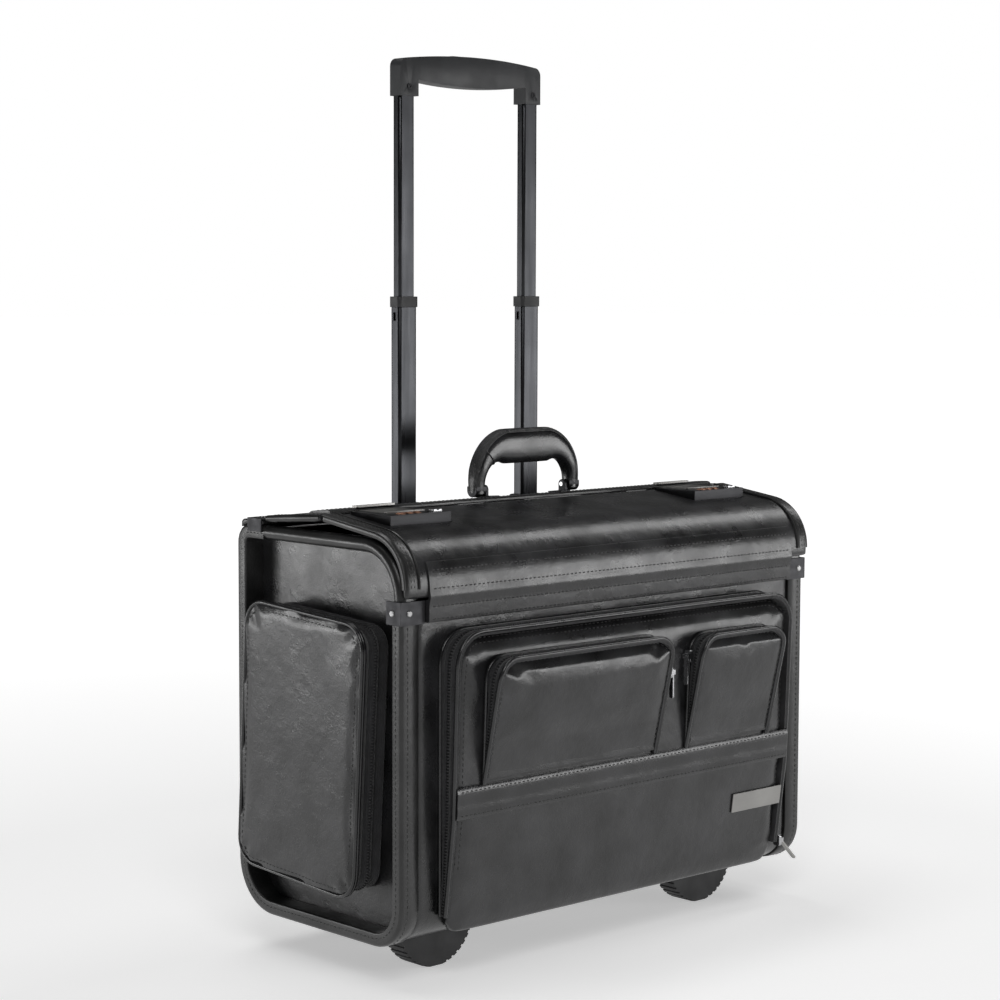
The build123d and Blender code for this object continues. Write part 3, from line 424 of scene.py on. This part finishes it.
def dimpled(obj, depth, size, seed):
    """Gives leather its slow unevenness: vertices move along their normals, never outwards."""
    shift = Vector((seed * 7.3, seed * 3.1, seed * 5.7))
    moved = []
    for vert in obj.data.vertices:
        amount = 0.5 + 0.5 * noise.noise(vert.co / (size * MM) + shift)
        moved.append(vert.co - vert.normal * amount * depth * MM)
    move_to(obj, moved)
    return obj


def bevelled(node, width, material, flat_over=35):
    """Shows a hard CAD node with its edges broken and a finish on it."""
    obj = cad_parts[node]
    weld = obj.modifiers.new("weld", "WELD")
    weld.merge_threshold = 1e-5
    bevel = obj.modifiers.new("edge", "BEVEL")
    bevel.width = width * MM
    bevel.segments = 2
    bevel.limit_method = "ANGLE"
    bevel.angle_limit = math.radians(flat_over)
    bevel.harden_normals = True
    obj.data.materials.clear()
    obj.data.materials.append(material)


# ---- stuffing -----------------------------------------------------------------------------------
def stuffed(obj, held, pressure=4.0, cap=2.5):
    """Cloth simulation that swells a soft piece; held picks the points that stay sewn down."""
    before = places(obj)
    group = obj.vertex_groups.new(name="held")
    group.add([i for i, place in enumerate(before) if held(place)], 1.0, "REPLACE")
    cloth = obj.modifiers.new("cloth", "CLOTH")
    cloth.settings.quality = 6
    cloth.settings.mass = 0.3
    cloth.settings.tension_stiffness = 40
    cloth.settings.compression_stiffness = 40
    cloth.settings.bending_stiffness = 8
    cloth.settings.use_pressure = True
    cloth.settings.uniform_pressure_force = pressure
    cloth.settings.vertex_group_mass = "held"
    cloth.settings.effector_weights.gravity = 0
    for step in range(1, 21):
        bpy.context.scene.frame_set(step)
    applied(obj)
    bpy.context.scene.frame_set(1)
    moved = places(obj) - before
    reach = np.maximum(np.linalg.norm(moved, axis=1, keepdims=True), 1e-9)
    move_to(obj, before + moved * np.minimum(1, cap * MM / reach))
    return obj


def finer(obj):
    """One level of subdivision on the finished shape."""
    obj.modifiers.new("fine", "SUBSURF").levels = 1
    return applied(obj)


# ---- leather-covered boards ---------------------------------------------------------------------
def side_path(part):
    """(depth, height) points round the side view: the rims' stretch, or the rails' along the top."""
    front_top = (FRONT_TOP_RADIUS, SIDE_TOP - FRONT_TOP_RADIUS)
    if part == "rail":
        return [(DECK_FRONT, SIDE_TOP)] + curved(front_top, FRONT_TOP_RADIUS, 90, 180)
    front_low = (FRONT_LOW_RADIUS, CASE_FLOOR + FRONT_LOW_RADIUS)
    back_low = (DEPTH - BACK_LOW_RADIUS, CASE_FLOOR + BACK_LOW_RADIUS)
    back_top = (DEPTH - BACK_TOP_RADIUS, SIDE_TOP - BACK_TOP_RADIUS)
    points = [(0, front_top[1])]
    points += curved(front_low, FRONT_LOW_RADIUS, 180, 270)
    points += curved(back_low, BACK_LOW_RADIUS, 270, 360)
    points += curved(back_top, BACK_TOP_RADIUS, 0, 90)
    return points + [(DECK_FRONT, SIDE_TOP)]


def beside(x, path):
    """Places and outward directions of a (depth, height) path at one distance across the case."""
    flat = spaced(path, 5)
    ahead = np.gradient(flat, axis=0)
    out = unit(np.stack((ahead[:, 1], -ahead[:, 0]), 1))
    none = np.zeros(len(flat))
    return np.stack((none + x, *flat.T), 1), np.stack((none, *out.T), 1)


def edge_binding():
    """Bound rims and rolled rails of the two end walls, with their stitching; the stitches at the back are pale
    thread, a painted highlight.
    """
    middle = (HALF + RIM_INNER) / 2
    half = (HALF - RIM_INNER) / 2
    rim_depth = 10
    turn = 3
    face = RIM_PROUD
    flat = [(-half, -rim_depth), (-half, face - 1), (-half + 0.8, face - 0.3), (0, face)]
    outer = curved((half - turn, face - turn), turn, 90, 0, 6)
    inner = curved((half - turn / 2, -rim_depth + turn / 2), turn / 2, 0, -90, 5)
    rim_section = np.array(flat + outer + inner)
    roll = (face + rim_depth) / 2
    rolled = curved((half - roll, face - roll), roll, 100, -90, 14)
    rail_section = np.array([(-half, -rim_depth), (-half, face - 1.5)] + rolled)
    rims, rails, seams, highlight_painted_seams = [], [], [], []
    for side in (-1, 1):
        mirror = (-side, 1)
        rims.append(sweep(*beside(side * middle, side_path("rim")), rim_section * mirror))
        rails.append(sweep(*beside(side * middle, side_path("rail")), rail_section * mirror))
        row, out = beside(side * (HALF - 6.6), side_path("rim"))
        seams += stitches(row + out * face, out)
        row, out = beside(side * HALF, side_path("rim"))
        for stitch in stitches(row - out * 5.2, (side, 0, 0)):
            # Stitches near the back take the pale thread, a painted highlight.
            at_back = np.mean(stitch[0], axis=0)[1] > DEPTH - 10
            (highlight_painted_seams if at_back else seams).append(stitch)
    built("edge_rims", rims, EDGE_LEATHER, "case", ["side_rims"])
    built("edge_rails", rails, EDGE_LEATHER, "case", ["side_rails"])
    built("edge_stitches", seams, THREAD, "case")
    built("back_edge_stitches", highlight_painted_seams, HIGHLIGHT_THREAD, "case")


def boards():
    """Walls, deck and lids: rounded, slightly uneven leather over the boards."""
    for number, (node, voxel, depth, body) in enumerate((
        ("shell_wrap", 2.5, 0.5, "case"),
        ("side_panel_left", 2.5, 0.9, "case"),
        ("side_panel_right", 2.5, 0.9, "case"),
        ("rear_deck", 1.3, 0.3, "case"),
        ("front_lid_board", 2.0, 0.5, "front_lid"),
        ("rear_lid_board", 2.0, 0.8, "rear_lid"),
    )):
        skin = dimpled(soft_copy(f"{node}_leather", node, voxel, 3), depth, 38, number + 1)
        dressed(skin, LEATHER, body, [node], 60)


LID_HALF_THICKNESS = 2.5
LID_RADIUS = 40
LID_RISE = 5.5
LID_SLOPE = 7.5
LID_HINGE = (LID_LOW.y + LID_HALF_THICKNESS, LID_LOW.z + LID_HALF_THICKNESS)
LID_CENTRE = (LID_HINGE[0] + LID_RADIUS, LID_HINGE[1] + LID_RISE)


def lid_path(lift):
    """(depth, height) points over the front lid from its hinge to its free edge, lift outside it."""
    radius = LID_RADIUS + LID_HALF_THICKNESS + lift
    bend = curved(LID_CENTRE, radius, 180, 90 + LID_SLOPE, 20)
    run = LID_HIGH.y - 1 - bend[-1][0]
    flat = (bend[-1][0] + run, bend[-1][1] + run * math.tan(math.radians(LID_SLOPE)))
    return bend + [flat]


def laid_on(obj, points, direction, step=4):
    """Drops a path onto a piece; gives the places where it lands and the surface's directions."""
    tree = BVHTree.FromPolygons(
        [vert.co for vert in obj.data.vertices], [face.vertices for face in obj.data.polygons]
    )
    way = Vector(direction).normalized()
    found, normals = [], []
    for point in spaced(points, step):
        hit, normal, _, _ = tree.ray_cast(CASE_ORIGIN + Vector(point) * MM - way * 0.08, way, 0.16)
        if hit:
            found.append((hit - CASE_ORIGIN) / MM)
            normals.append(normal)
    return np.array(found), np.array(normals)


def lid_edges():
    """Bindings, piping and seams along the ends and the front of the front lid."""
    width = 13
    bindings, seams = [], []
    for side in (-1, 1):
        strip = beside(side * (HALF - width / 2), lid_path(0)[::-1])
        bindings.append(sweep(*strip, soft_strip(width, 0.7, 0.3)))
        cord = beside(side * (HALF - width - 0.6), lid_path(0.3)[::-1])
        bindings.append(sweep(*cord, round_section(1.1, 8)))
        end_roll = beside(side * (HALF - 0.6), lid_path(-LID_HALF_THICKNESS)[::-1])
        bindings.append(sweep(*end_roll, round_section(1.0) * (1, 2.6)))
        for inward in (5.2, 8.4):
            row, out = beside(side * (HALF - inward), lid_path(0.9)[::-1])
            seams += stitches(row, out)
    built("lid_binding", bindings, EDGE_LEATHER, "front_lid")
    built("lid_binding_stitches", seams, THREAD, "front_lid")


def prism(outline, stations):
    """Carries a closed (depth, height) outline across the case, through the stations along X."""
    verts = [(x, y, z) for x in stations for y, z in outline]
    count = len(outline)
    faces = [tuple(range(count)), tuple(range(len(verts) - count, len(verts)))]
    for i in range(len(stations) - 1):
        for j in range(count):
            side = (j + 1) % count
            faces.append((i * count + j, i * count + side, (i + 1) * count + side, (i + 1) * count + j))
    return verts, faces


def on_lid(degrees, lift):
    """(depth, height) of a point on the bend of the front lid, degrees up from its hinge."""
    return curved(LID_CENTRE, LID_RADIUS + LID_HALF_THICKNESS + lift, 180 - degrees, 180, 2)[0]


def hinge_leather():
    """Leather that joins the front wall to the front lid."""
    face = BAND_LOW.y
    low, high = BAND_LOW.z, BAND_HIGH.z
    lid_stretch = [on_lid(degrees, 1.1) for degrees in (4, 8, 12, 16, 20, 24)]
    outer = [(face + 2, low), (face, low + 0.6), (face - 0.5, low + 3), (face - 0.5, high - 6)]
    outer += [(face - 0.9, high - 2), (face - 2.0, high + 1.5), (face - 2.2, high + 4), (face - 1.5, high + 7)]
    edge = [on_lid(27, 0.9), on_lid(27.6, 0.1)]
    inner = [on_lid(degrees, -0.1) for degrees in (24, 16, 8, 2)]
    inner += [(face + 0.6, high + 1), (-0.3, high - 1), (-0.3, low)]
    stations = np.linspace(BAND_LOW.x, BAND_HIGH.x, 90)
    strip = built("hinge_leather", [prism(outer + lid_stretch + edge + inner, stations)], LEATHER)
    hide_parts("front_hinge_band")
    rows = {"case": [], "front_lid": []}
    ends = (BAND_LOW.x + 3, BAND_HIGH.x - 3)
    for height, body in ((low + 2.6, "case"), (high - 5, "case"), (high + 9, "front_lid"), (high + 23, "front_lid")):
        places_found, out = laid_on(strip, [(ends[0], -60, height), (ends[1], -60, height)], (0, 1, 0))
        rows[body] += stitches(places_found, out)
    built("wall_seam_stitches", rows["case"], THREAD, "case")
    built("lid_seam_stitches", rows["front_lid"], THREAD, "front_lid")
    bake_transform(strip)


RAIL_LOW, RAIL_HIGH = span("centre_rail")
REAR_LOW, REAR_HIGH = span("rear_lid_board")
REAR_SLOPE = (REAR_HIGH.z - REAR_LOW.z - 6) / (REAR_LOW.y - REAR_HIGH.y + 3)
RAIL_THICKNESS = 3


def rail_top(y):
    """Height of the centre rail's upper face."""
    return RAIL_HIGH.z + REAR_SLOPE * (y - RAIL_LOW.y)


def rear_lid_details():
    """Padded centre rail, and the rolled ends and seams of the rear lid."""
    y_low, y_high = RAIL_LOW.y, RAIL_HIGH.y
    steps = np.linspace(-1, 1, 13)
    middle, half = (y_low + y_high) / 2, (y_high - y_low) / 2
    top = [(middle + half * s, rail_top(middle + half * s) - 0.9 * s**8 - 0.5 * (1 - (1 - s * s) ** 0.5)) for s in steps]
    under = [(y_high, rail_top(y_high) - RAIL_THICKNESS), (y_low, rail_top(y_low) - RAIL_THICKNESS)]
    stations = np.linspace(RAIL_LOW.x, RAIL_HIGH.x, 80)
    rail = built("centre_rail_leather", [prism(top + under, stations)], EDGE_LEATHER, "rear_lid", ["centre_rail"])
    seams = []
    for y in (y_low + 3.2, y_high - 3.2):
        ends = [(RAIL_LOW.x + 4, y, RAIL_HIGH.z + 20), (RAIL_HIGH.x - 4, y, RAIL_HIGH.z + 20)]
        seams += stitches(*laid_on(rail, ends, (0, 0, -1)))
    rolls = []
    for side in (-1, 1):
        path = [(side * (HALF - 2.6), y, rail_top(y) - RAIL_THICKNESS - 2.6) for y in np.linspace(y_low, REAR_HIGH.y - 2, 12)]
        swell = [round_section(2.6, 12) * (1, 1 + 0.25 * math.sin(math.pi * i / 11)) for i in range(12)]
        rolls.append(sweep(path, (0, 0, 1), swell))
        for inward in (6.2, 9.4):
            row = [(side * (HALF - inward), y, rail_top(y) - RAIL_THICKNESS) for y in (y_high + 2, REAR_HIGH.y - 5)]
            seams += stitches(row, (0, 0, 1))
    built("rear_lid_rolls", rolls, EDGE_LEATHER, "rear_lid")
    built("rear_lid_stitches", seams, THREAD, "rear_lid")


# ---- pockets --------------------------------------------------------------------------------------
POCKET_FACE = ((POCKET_LOW.z, -5), (131, -17), (264, POCKET_LOW.y))   # (height, depth)
SMALL_CORNER = 18
POCKET_CORNER = 26


def pocket_face(z):
    """Depth of the big pocket's front at a height."""
    return float(np.interp(z, *zip(*POCKET_FACE)))


def arch(x_low, x_high, z_low, z_high, radius):
    """(across, height) path up one side, over the rounded top and down the other side."""
    left = curved((x_low + radius, z_high - radius), radius, 180, 90, 8)
    right = curved((x_high - radius, z_high - radius), radius, 90, 0, 8)
    return spaced([(x_low, z_low)] + left + right + [(x_high, z_low)], 4)


def gusset(path, back, front):
    """Zip gusset along an arch: two tapes with their folds, a row of teeth, and piping on both edges."""
    ahead = np.gradient(path, axis=0)
    out = unit(np.stack((-ahead[:, 1], np.zeros(len(path)), ahead[:, 0]), 1))
    base = np.array([(x, back(z), z) for x, z in path])
    depth = np.array([back(z) - front(z) for _, z in path])
    shares = np.array([0, 0.08, 0.2, 0.28, 0.4, 0.44, 0.56, 0.6, 0.72, 0.8, 0.92, 1, 1, 0])
    heights = np.array([0, 0.2, -1.5, -0.4, -0.7, -1.5, -1.5, -0.7, -0.4, -1.5, 0.2, 0, -4, -4])
    section = np.stack((shares * depth[:, None], np.broadcast_to(heights, (len(path), len(heights)))), 2)
    tape = sweep(base, out, section)
    forward = np.array((0, -1, 0))
    teeth_path = base + forward * depth[:, None] * 0.5 - out * 1.1
    teeth = stitches(teeth_path, out, 2.5, 1.5, 3.4)
    front_edge = base + forward * (depth[:, None] - 1.0) - out * 0.8
    back_edge = base + forward * 1.3 - out * 0.4
    piping = [sweep(front_edge, out, round_section(1.8)), sweep(back_edge, out, round_section(1.5))]
    return tape, teeth, piping


def front_seams(obj, path, inset, direction=(0, 1, 0)):
    """Stitches on a pocket's front, inset from the edge of its arch."""
    ahead = np.gradient(path, axis=0)
    inward = unit(np.stack((ahead[:, 1], -ahead[:, 0]), 1))
    flat = path + inward * inset
    points = [(x, -90, z) for x, z in flat]
    return stitches(*laid_on(obj, points, direction))


def big_pocket():
    """Main front pocket: padded face, zip gusset, piping and seams."""
    def held(place):
        return place[1] > CASE_ORIGIN.y - 3 * MM or place[2] < (POCKET_LOW.z + 6) * MM
    body = finer(stuffed(soft_copy("front_pocket_body", "front_pocket", 4.5, 4, 1.6), held, 4, 1.5))
    dimpled(body, 0.5, 45, 11)
    dressed(body, LEATHER, "case", ["front_pocket"], 60)
    path = arch(ZIP_LOW.x + 1, ZIP_HIGH.x - 1, ZIP_LOW.z, ZIP_HIGH.z - 1, POCKET_CORNER)
    tape, teeth, piping = gusset(path, lambda z: 0.5, pocket_face)
    built("front_pocket_gusset", [tape], TAPE, "case", ["front_pocket_zip"])
    built("front_pocket_teeth", teeth, DARK_PLASTIC, "case")
    built("front_pocket_piping", piping, SMOOTH_LEATHER, "case")
    seams = front_seams(body, path, 7) + front_seams(body, path, 10.5)
    built("front_pocket_stitches", seams, THREAD, "case")


def small_pocket(name):
    """Wedge pocket with its own zip gusset and a slightly domed face."""
    node = f"small_pocket_{name}"
    low, high = span(node)
    top = high.z - 12

    def face(z):
        return float(np.interp(z, (low.z, top), (pocket_face(low.z) - 3, low.y)))

    def held(place):
        return place[1] > CASE_ORIGIN.y + (pocket_face(high.z) - 4) * MM or place[2] < (low.z + 5) * MM
    body = finer(stuffed(soft_copy(f"{node}_body", node, 3.5, 4, 1.8), held, 5, 2.4))
    dimpled(body, 0.6, 30, 17 + len(name))
    dressed(body, LEATHER, "case", [node], 60)
    path = arch(low.x + 1, high.x - 1, low.z, high.z - 1, SMALL_CORNER)
    tape, teeth, piping = gusset(path, pocket_face, lambda z: face(z) + 1.2)
    built(f"{node}_gusset", [tape], TAPE, "case")
    built(f"{node}_teeth", teeth, DARK_PLASTIC, "case")
    built(f"{node}_piping", piping, SMOOTH_LEATHER, "case")
    built(f"{node}_stitches", front_seams(body, path, 5), THREAD, "case")


def belt():
    """Stitched band across the big pocket."""
    low, high = BELT_LOW.z, BELT_HIGH.z
    middle, half = (low + high) / 2, (high - low) / 2
    outline = []
    for s in np.linspace(-1, 1, 13):
        z = middle + half * s
        outline.append((pocket_face(z) - 1.2 - 1.0 * (1 - s**8) ** 0.5 + 0.35 * math.cos(math.pi * s) ** 2, z))
    outline += [(pocket_face(high) + 1.5, high), (pocket_face(low) + 1.5, low)]
    stations = np.linspace(BELT_LOW.x, BELT_HIGH.x, 90)
    strap = built("belt_leather", [prism(outline, stations)], SMOOTH_LEATHER, "case", ["belt_strap"])
    seams = []
    for z in (low + 3, high - 3):
        ends = [(BELT_LOW.x + 3, -60, z), (BELT_HIGH.x - 3, -60, z)]
        seams += stitches(*laid_on(strap, ends, (0, 1, 0)))
    built("belt_stitches", seams, THREAD, "case")


SIDE_TILT = 3.4
SIDE_CORNER = 22
SIDE_SIZE = (150, 220)


def side_loop(inset, x):
    """Closed path round the side pocket, inset from its panel's edge, with outward directions."""
    half = [size / 2 - inset for size in SIDE_SIZE]
    radius = SIDE_CORNER - inset
    flat = []
    for quarter, (back, up) in enumerate(((1, 1), (-1, 1), (-1, -1), (1, -1))):
        middle = (back * (half[0] - radius), up * (half[1] - radius))
        flat += curved(middle, radius, 90 * quarter, 90 * quarter + 90, 9)
    flat = spaced(flat, 4, closed=True)
    ahead = np.roll(flat, -1, 0) - np.roll(flat, 1, 0)
    out = unit(np.stack((ahead[:, 1], -ahead[:, 0]), 1))
    tilt = math.radians(SIDE_TILT)
    turn = np.array(((math.cos(tilt), math.sin(tilt)), (-math.sin(tilt), math.cos(tilt))))
    middle = ((SIDE_LOW.y + SIDE_HIGH.y) / 2, (SIDE_LOW.z + SIDE_HIGH.z) / 2)
    flat = flat @ turn + middle
    out = out @ turn
    none = np.zeros(len(flat))
    return np.stack((none + x, *flat.T), 1), np.stack((none, *out.T), 1)


def side_pocket():
    """Side pocket: padded panel with a piped edge, over a folded gusset with a zip."""
    outer, inner = SIDE_LOW.x, SIDE_HIGH.x

    def held(place):
        return place[0] > CASE_ORIGIN.x + (inner - 1.2) * MM
    panel = finer(stuffed(soft_copy("side_pocket_face", "side_pocket_panel", 3.2, 4, 0.7), held, 4, 1.6))
    dimpled(panel, 0.9, 42, 23)
    dressed(panel, LEATHER, "case", ["side_pocket_panel"], 60)
    loop, out = side_loop(5.5, (inner - RIM_INNER) / 2)
    reach = -RIM_INNER - inner
    shares = np.array([-0.5, -0.42, -0.34, -0.24, -0.12, -0.02, 0.06, 0.14, 0.26, 0.36, 0.44, 0.5, 0.5, -0.5])
    heights = np.array([0, 1.6, 0, -3.2, 0.6, 1.8, 0.6, -3.0, 0.4, 1.4, 0, 0.6, -9, -9])
    section = np.stack((shares * reach, heights), 1)
    folds = sweep(loop, out, section, closed=True)
    built("side_pocket_gusset", [folds], TAPE, "case", ["side_pocket"])
    zip_loop, zip_out = side_loop(4.2, (inner - RIM_INNER) / 2)
    built("side_pocket_teeth", stitches(zip_loop, zip_out, 2.5, 1.5, 3.2), DARK_PLASTIC, "case")
    edges = [sweep(*side_loop(1.6, x), round_section(1.7), closed=True) for x in (outer + 2.2, inner - 0.6)]
    built("side_pocket_piping", edges, SMOOTH_LEATHER, "case")
    row, _ = side_loop(7, outer)
    seam = stitches(*laid_on(panel, row - np.array((40, 0, 0)), (1, 0, 0)))
    built("side_pocket_stitches", seam, THREAD, "case")


# ---- carry handle -----------------------------------------------------------------------------------
def handle_edges():
    """Matching (across, height) points along the outer and the inner edge of the handle's front view."""
    reach, leg, bar = HANDLE_HIGH.x, 12, 29
    outer_radius, inner_radius = 44, 15
    low, top = HANDLE_LOW.z - 6, HANDLE_HIGH.z
    bend = top - outer_radius
    legs = np.linspace(low, bend, 5)[:-1]
    outer = [(-reach, z) for z in legs] + curved((outer_radius - reach, bend), outer_radius, 180, 90, 18)
    inner_middle = (leg + inner_radius - reach, top - bar - inner_radius)
    inner = [(leg - reach, z) for z in legs] + curved(inner_middle, inner_radius, 180, 90, 18)
    for share in (0.25, 0.5, 0.75):
        for edge in (outer, inner):
            edge.append((edge[21][0] * (1 - share), edge[21][1]))
    outer, inner = np.array(outer), np.array(inner)
    turned = np.array((-1, 1))
    middle = [[(0, top)], [(0, top - bar)]]
    return [np.concatenate((half, centre, half[::-1] * turned)) for half, centre in zip((outer, inner), middle)]


def carry_handle():
    """Padded arch with a grained outer strip, its stitching and a seam round its left shoulder."""
    outer, inner = handle_edges()
    deep = [HANDLE_HIGH.y - HANDLE_LOW.y - 3, HANDLE_HIGH.y - HANDLE_LOW.y]
    middle_y = (HANDLE_HIGH.y + HANDLE_LOW.y) / 2
    between = (outer + inner) / 2
    ahead = unit(np.gradient(between, axis=0))
    across = np.stack((-ahead[:, 1], ahead[:, 0]), 1)
    none = np.zeros(len(outer))
    points = np.stack((between[:, 0], none + middle_y, between[:, 1]), 1)
    out = np.stack((across[:, 0], none, across[:, 1]), 1)
    half_out = ((outer - inner) * across).sum(1) / 2
    half_depth = np.interp(between[:, 1], (HANDLE_LOW.z, HANDLE_LOW.z + 14), deep) / 2
    turns = np.linspace(0, 2 * math.pi, 28, endpoint=False)
    rounded = np.stack((np.cos(turns), np.sin(turns)), 1)
    rounded = np.sign(rounded) * np.abs(rounded) ** 0.7
    section = rounded[None] * np.stack((half_depth, half_out), 1)[:, None]
    padding = [sweep(points, out, section)]
    built("handle_padding", padding, SMOOTH_LEATHER, "carry_handle", ["carry_handle_grip"], 60)
    ends = slice(1, -1)
    on_top = points + out * (half_out[:, None] - 2.2)
    width = half_depth * 1.75
    strip = [soft_strip(w, 2.4, 0.5) for w in width[ends]]
    built("handle_strip", [sweep(on_top[ends], out[ends], strip)], HANDLE_LEATHER, "carry_handle")
    seams = []
    for side in (-1, 1):
        edge = on_top[ends] + np.array((0, side, 0)) * (width[ends, None] / 2 - 1.2) + out[ends] * 1.2
        seams += stitches(edge, out[ends], 3.4, 2.2, 0.8)
    built("handle_stitches", seams, THREAD, "carry_handle")
    shoulder = 13
    around = [points[shoulder] + out[shoulder] * z * half_out[shoulder] + np.array((0, y * half_depth[shoulder], 0))
              for y, z in rounded]
    seam_out = [out[shoulder] * z + np.array((0, y, 0)) for y, z in rounded]
    seam = sweep(np.array(around), np.array(seam_out), round_section(0.7, 8), closed=True)
    built("handle_seam", [seam], DARK_PLASTIC, "carry_handle")


# ---- hard parts -------------------------------------------------------------------------------------
def hard_parts():
    """Finishes and broken edges for metal, plastic and rubber."""
    for node, width, material in (
        ("corner_brackets", 0.35, BRACKET_METAL),
        ("bracket_rivets", 0.25, STEEL),
        ("tube_bezels", 0.4, DARK_PLASTIC),
        ("outer_tubes", 0.1, INNER_TUBE),
        ("tube_foot_bracket", 0.5, STEEL),
        ("wheel_housings", 0.5, DARK_PLASTIC),
        ("wheel_axles", 0.3, STEEL),
        ("front_feet", 0.3, FOOT_RUBBER),
        ("foot_screws", 0.2, STEEL),
        ("nameplate", 0.45, PLATE_METAL),
        ("lock_bodies", 0.35, LOCK_METAL),
        ("catch_plates", 0.4, PLATE_METAL),
        ("handle_brackets", 0.3, LOCK_METAL),
        ("handle_pins", 0.3, BRIGHT_METAL),
        ("carry_handle_ends", 0.3, LOCK_METAL),
        ("middle_tubes", 0.2, TUBE_METAL),
        ("tube_collars", 0.3, DARK_PLASTIC),
        ("upper_tubes", 0.2, TUBE_METAL),
        ("grip_shell", 1.2, GRIP_PLASTIC),
        ("grip_screws", 0.15, LOCK_METAL),
        ("release_button", 0.3, DARK_PLASTIC),
        ("release_rods", 0.2, STEEL),
    ):
        bevelled(node, width, material)
    for side in ("left", "right"):
        bevelled(f"wheel_hub_{side}", 0.5, DARK_PLASTIC)
        bevelled(f"tyre_{side}", 0.4, TYRE_RUBBER)
        bevelled(f"latch_{side}", 0.3, PLATE_METAL)
        bevelled(f"lock_button_{side}", 0.3, BRIGHT_METAL)
        for index in (1, 2, 3):
            bevelled(f"dial_{side}_{index}", 0.15, DIAL_METAL)
    for name in ("main", "left", "right"):
        bevelled(f"zip_slider_{name}", 0.25, BRIGHT_METAL)
        bevelled(f"zip_pull_{name}", 0.2, PLATE_METAL if name == "main" else BRIGHT_METAL)


# ---- stage --------------------------------------------------------------------------------------------
CAMERA_PLACE = Vector((-1445.9, -1414.8, 549.7))
CAMERA_YAW, CAMERA_PITCH, CAMERA_ROLL = 42.9, -5.06, 0.18
CAMERA_LENS = 88.7


def camera():
    """Long lens level with the pull handle's middle, looking at the front left corner."""
    yaw, pitch, roll = (math.radians(angle) for angle in (CAMERA_YAW, CAMERA_PITCH, CAMERA_ROLL))
    forward = Vector((math.sin(yaw) * math.cos(pitch), math.cos(yaw) * math.cos(pitch), math.sin(pitch)))
    level = Vector((math.cos(yaw), -math.sin(yaw), 0))
    upright = level.cross(forward)
    right = level * math.cos(roll) + upright * math.sin(roll)
    up = upright * math.cos(roll) - level * math.sin(roll)
    data = bpy.data.cameras.new("camera")
    data.lens = CAMERA_LENS
    data.clip_end = 50
    obj = bpy.data.objects.new("camera", data)
    bpy.context.scene.collection.objects.link(obj)
    turn = Matrix((right, up, -forward)).transposed().to_4x4()
    obj.matrix_world = Matrix.Translation(CASE_ORIGIN + CAMERA_PLACE * MM) @ turn
    bpy.context.scene.camera = obj


def softbox(name, place, target, size, power):
    """Rectangular light aimed at a point."""
    data = bpy.data.lights.new(name, "AREA")
    data.shape = "RECTANGLE"
    data.size, data.size_y = size
    data.energy = power
    obj = bpy.data.objects.new(name, data)
    bpy.context.scene.collection.objects.link(obj)
    obj.location = place
    obj.rotation_euler = (Vector(target) - Vector(place)).to_track_quat("-Z", "Y").to_euler()


def seen_by_camera(nodes, links, seen, unseen):
    """One number for what the camera sees and another for what lights and reflections see."""
    path = nodes.new("ShaderNodeLightPath").outputs["Is Camera Ray"]
    node = nodes.new("ShaderNodeMapRange")
    node.inputs["To Min"].default_value = unseen
    node.inputs["To Max"].default_value = seen
    links.new(path, node.inputs["Value"])
    return node.outputs["Result"]


def stage():
    """Pale floor that fades to white, and white surroundings that stay dim in reflections."""
    reach = 30
    corners = [(-reach, -reach, 0), (reach, -reach, 0), (reach, reach, 0), (-reach, reach, 0)]
    mesh = bpy.data.meshes.new("floor")
    mesh.from_pydata(corners, [], [(0, 1, 2, 3)])
    floor = bpy.data.objects.new("floor", mesh)
    bpy.context.scene.collection.objects.link(floor)
    paper = Finish("paper")
    paper.rough(0.85, 0.95, 3)
    away = paper.nodes.new("ShaderNodeVectorMath")
    away.operation = "LENGTH"
    paper.links.new(paper.place, away.inputs[0])
    seen_glow = paper.between(away.outputs["Value"], 0.42, 1.0, 0.6, 2.6)
    glow = seen_by_camera(paper.nodes, paper.links, 1.0, 0.5)
    paper.links.new(seen_glow, glow.node.inputs["To Max"])
    paper.links.new(seen_by_camera(paper.nodes, paper.links, 0.9, 0.5), paper.shader.inputs["Base Color"])
    paper.links.new(glow, paper.shader.inputs["Emission Strength"])
    mesh.materials.append(paper.having(emission_color=(1, 1, 1, 1), specular_ior_level=0.1))
    world = bpy.data.worlds.new("studio")
    world.use_nodes = True
    tree = world.node_tree
    background = tree.nodes["Background"]
    background.inputs["Color"].default_value = (1, 1, 1, 1)
    tree.links.new(seen_by_camera(tree.nodes, tree.links, 1.0, 0.07), background.inputs["Strength"])
    bpy.context.scene.world = world
    bpy.context.scene.view_settings.view_transform = "Standard"
    middle = (0, 0, 0.25)
    softbox("key", (-1.5, -1.8, 2.3), middle, (1.4, 1.4), 24)
    softbox("front_gloss", (2.0, -2.2, 0.4), middle, (1.3, 0.9), 18)
    softbox("side_gloss", (-2.1, 1.9, 0.3), middle, (1.0, 0.6), 11)
    softbox("lid_gloss", (2.0, -0.2, 2.1), middle, (0.7, 1.6), 12)
    softbox("top", (-0.2, 0.6, 2.6), middle, (1.8, 0.8), 14)


edge_binding()
boards()
lid_edges()
hinge_leather()
rear_lid_details()
big_pocket()
small_pocket("left")
small_pocket("right")
belt()
side_pocket()
carry_handle()
hard_parts()
camera()
stage()
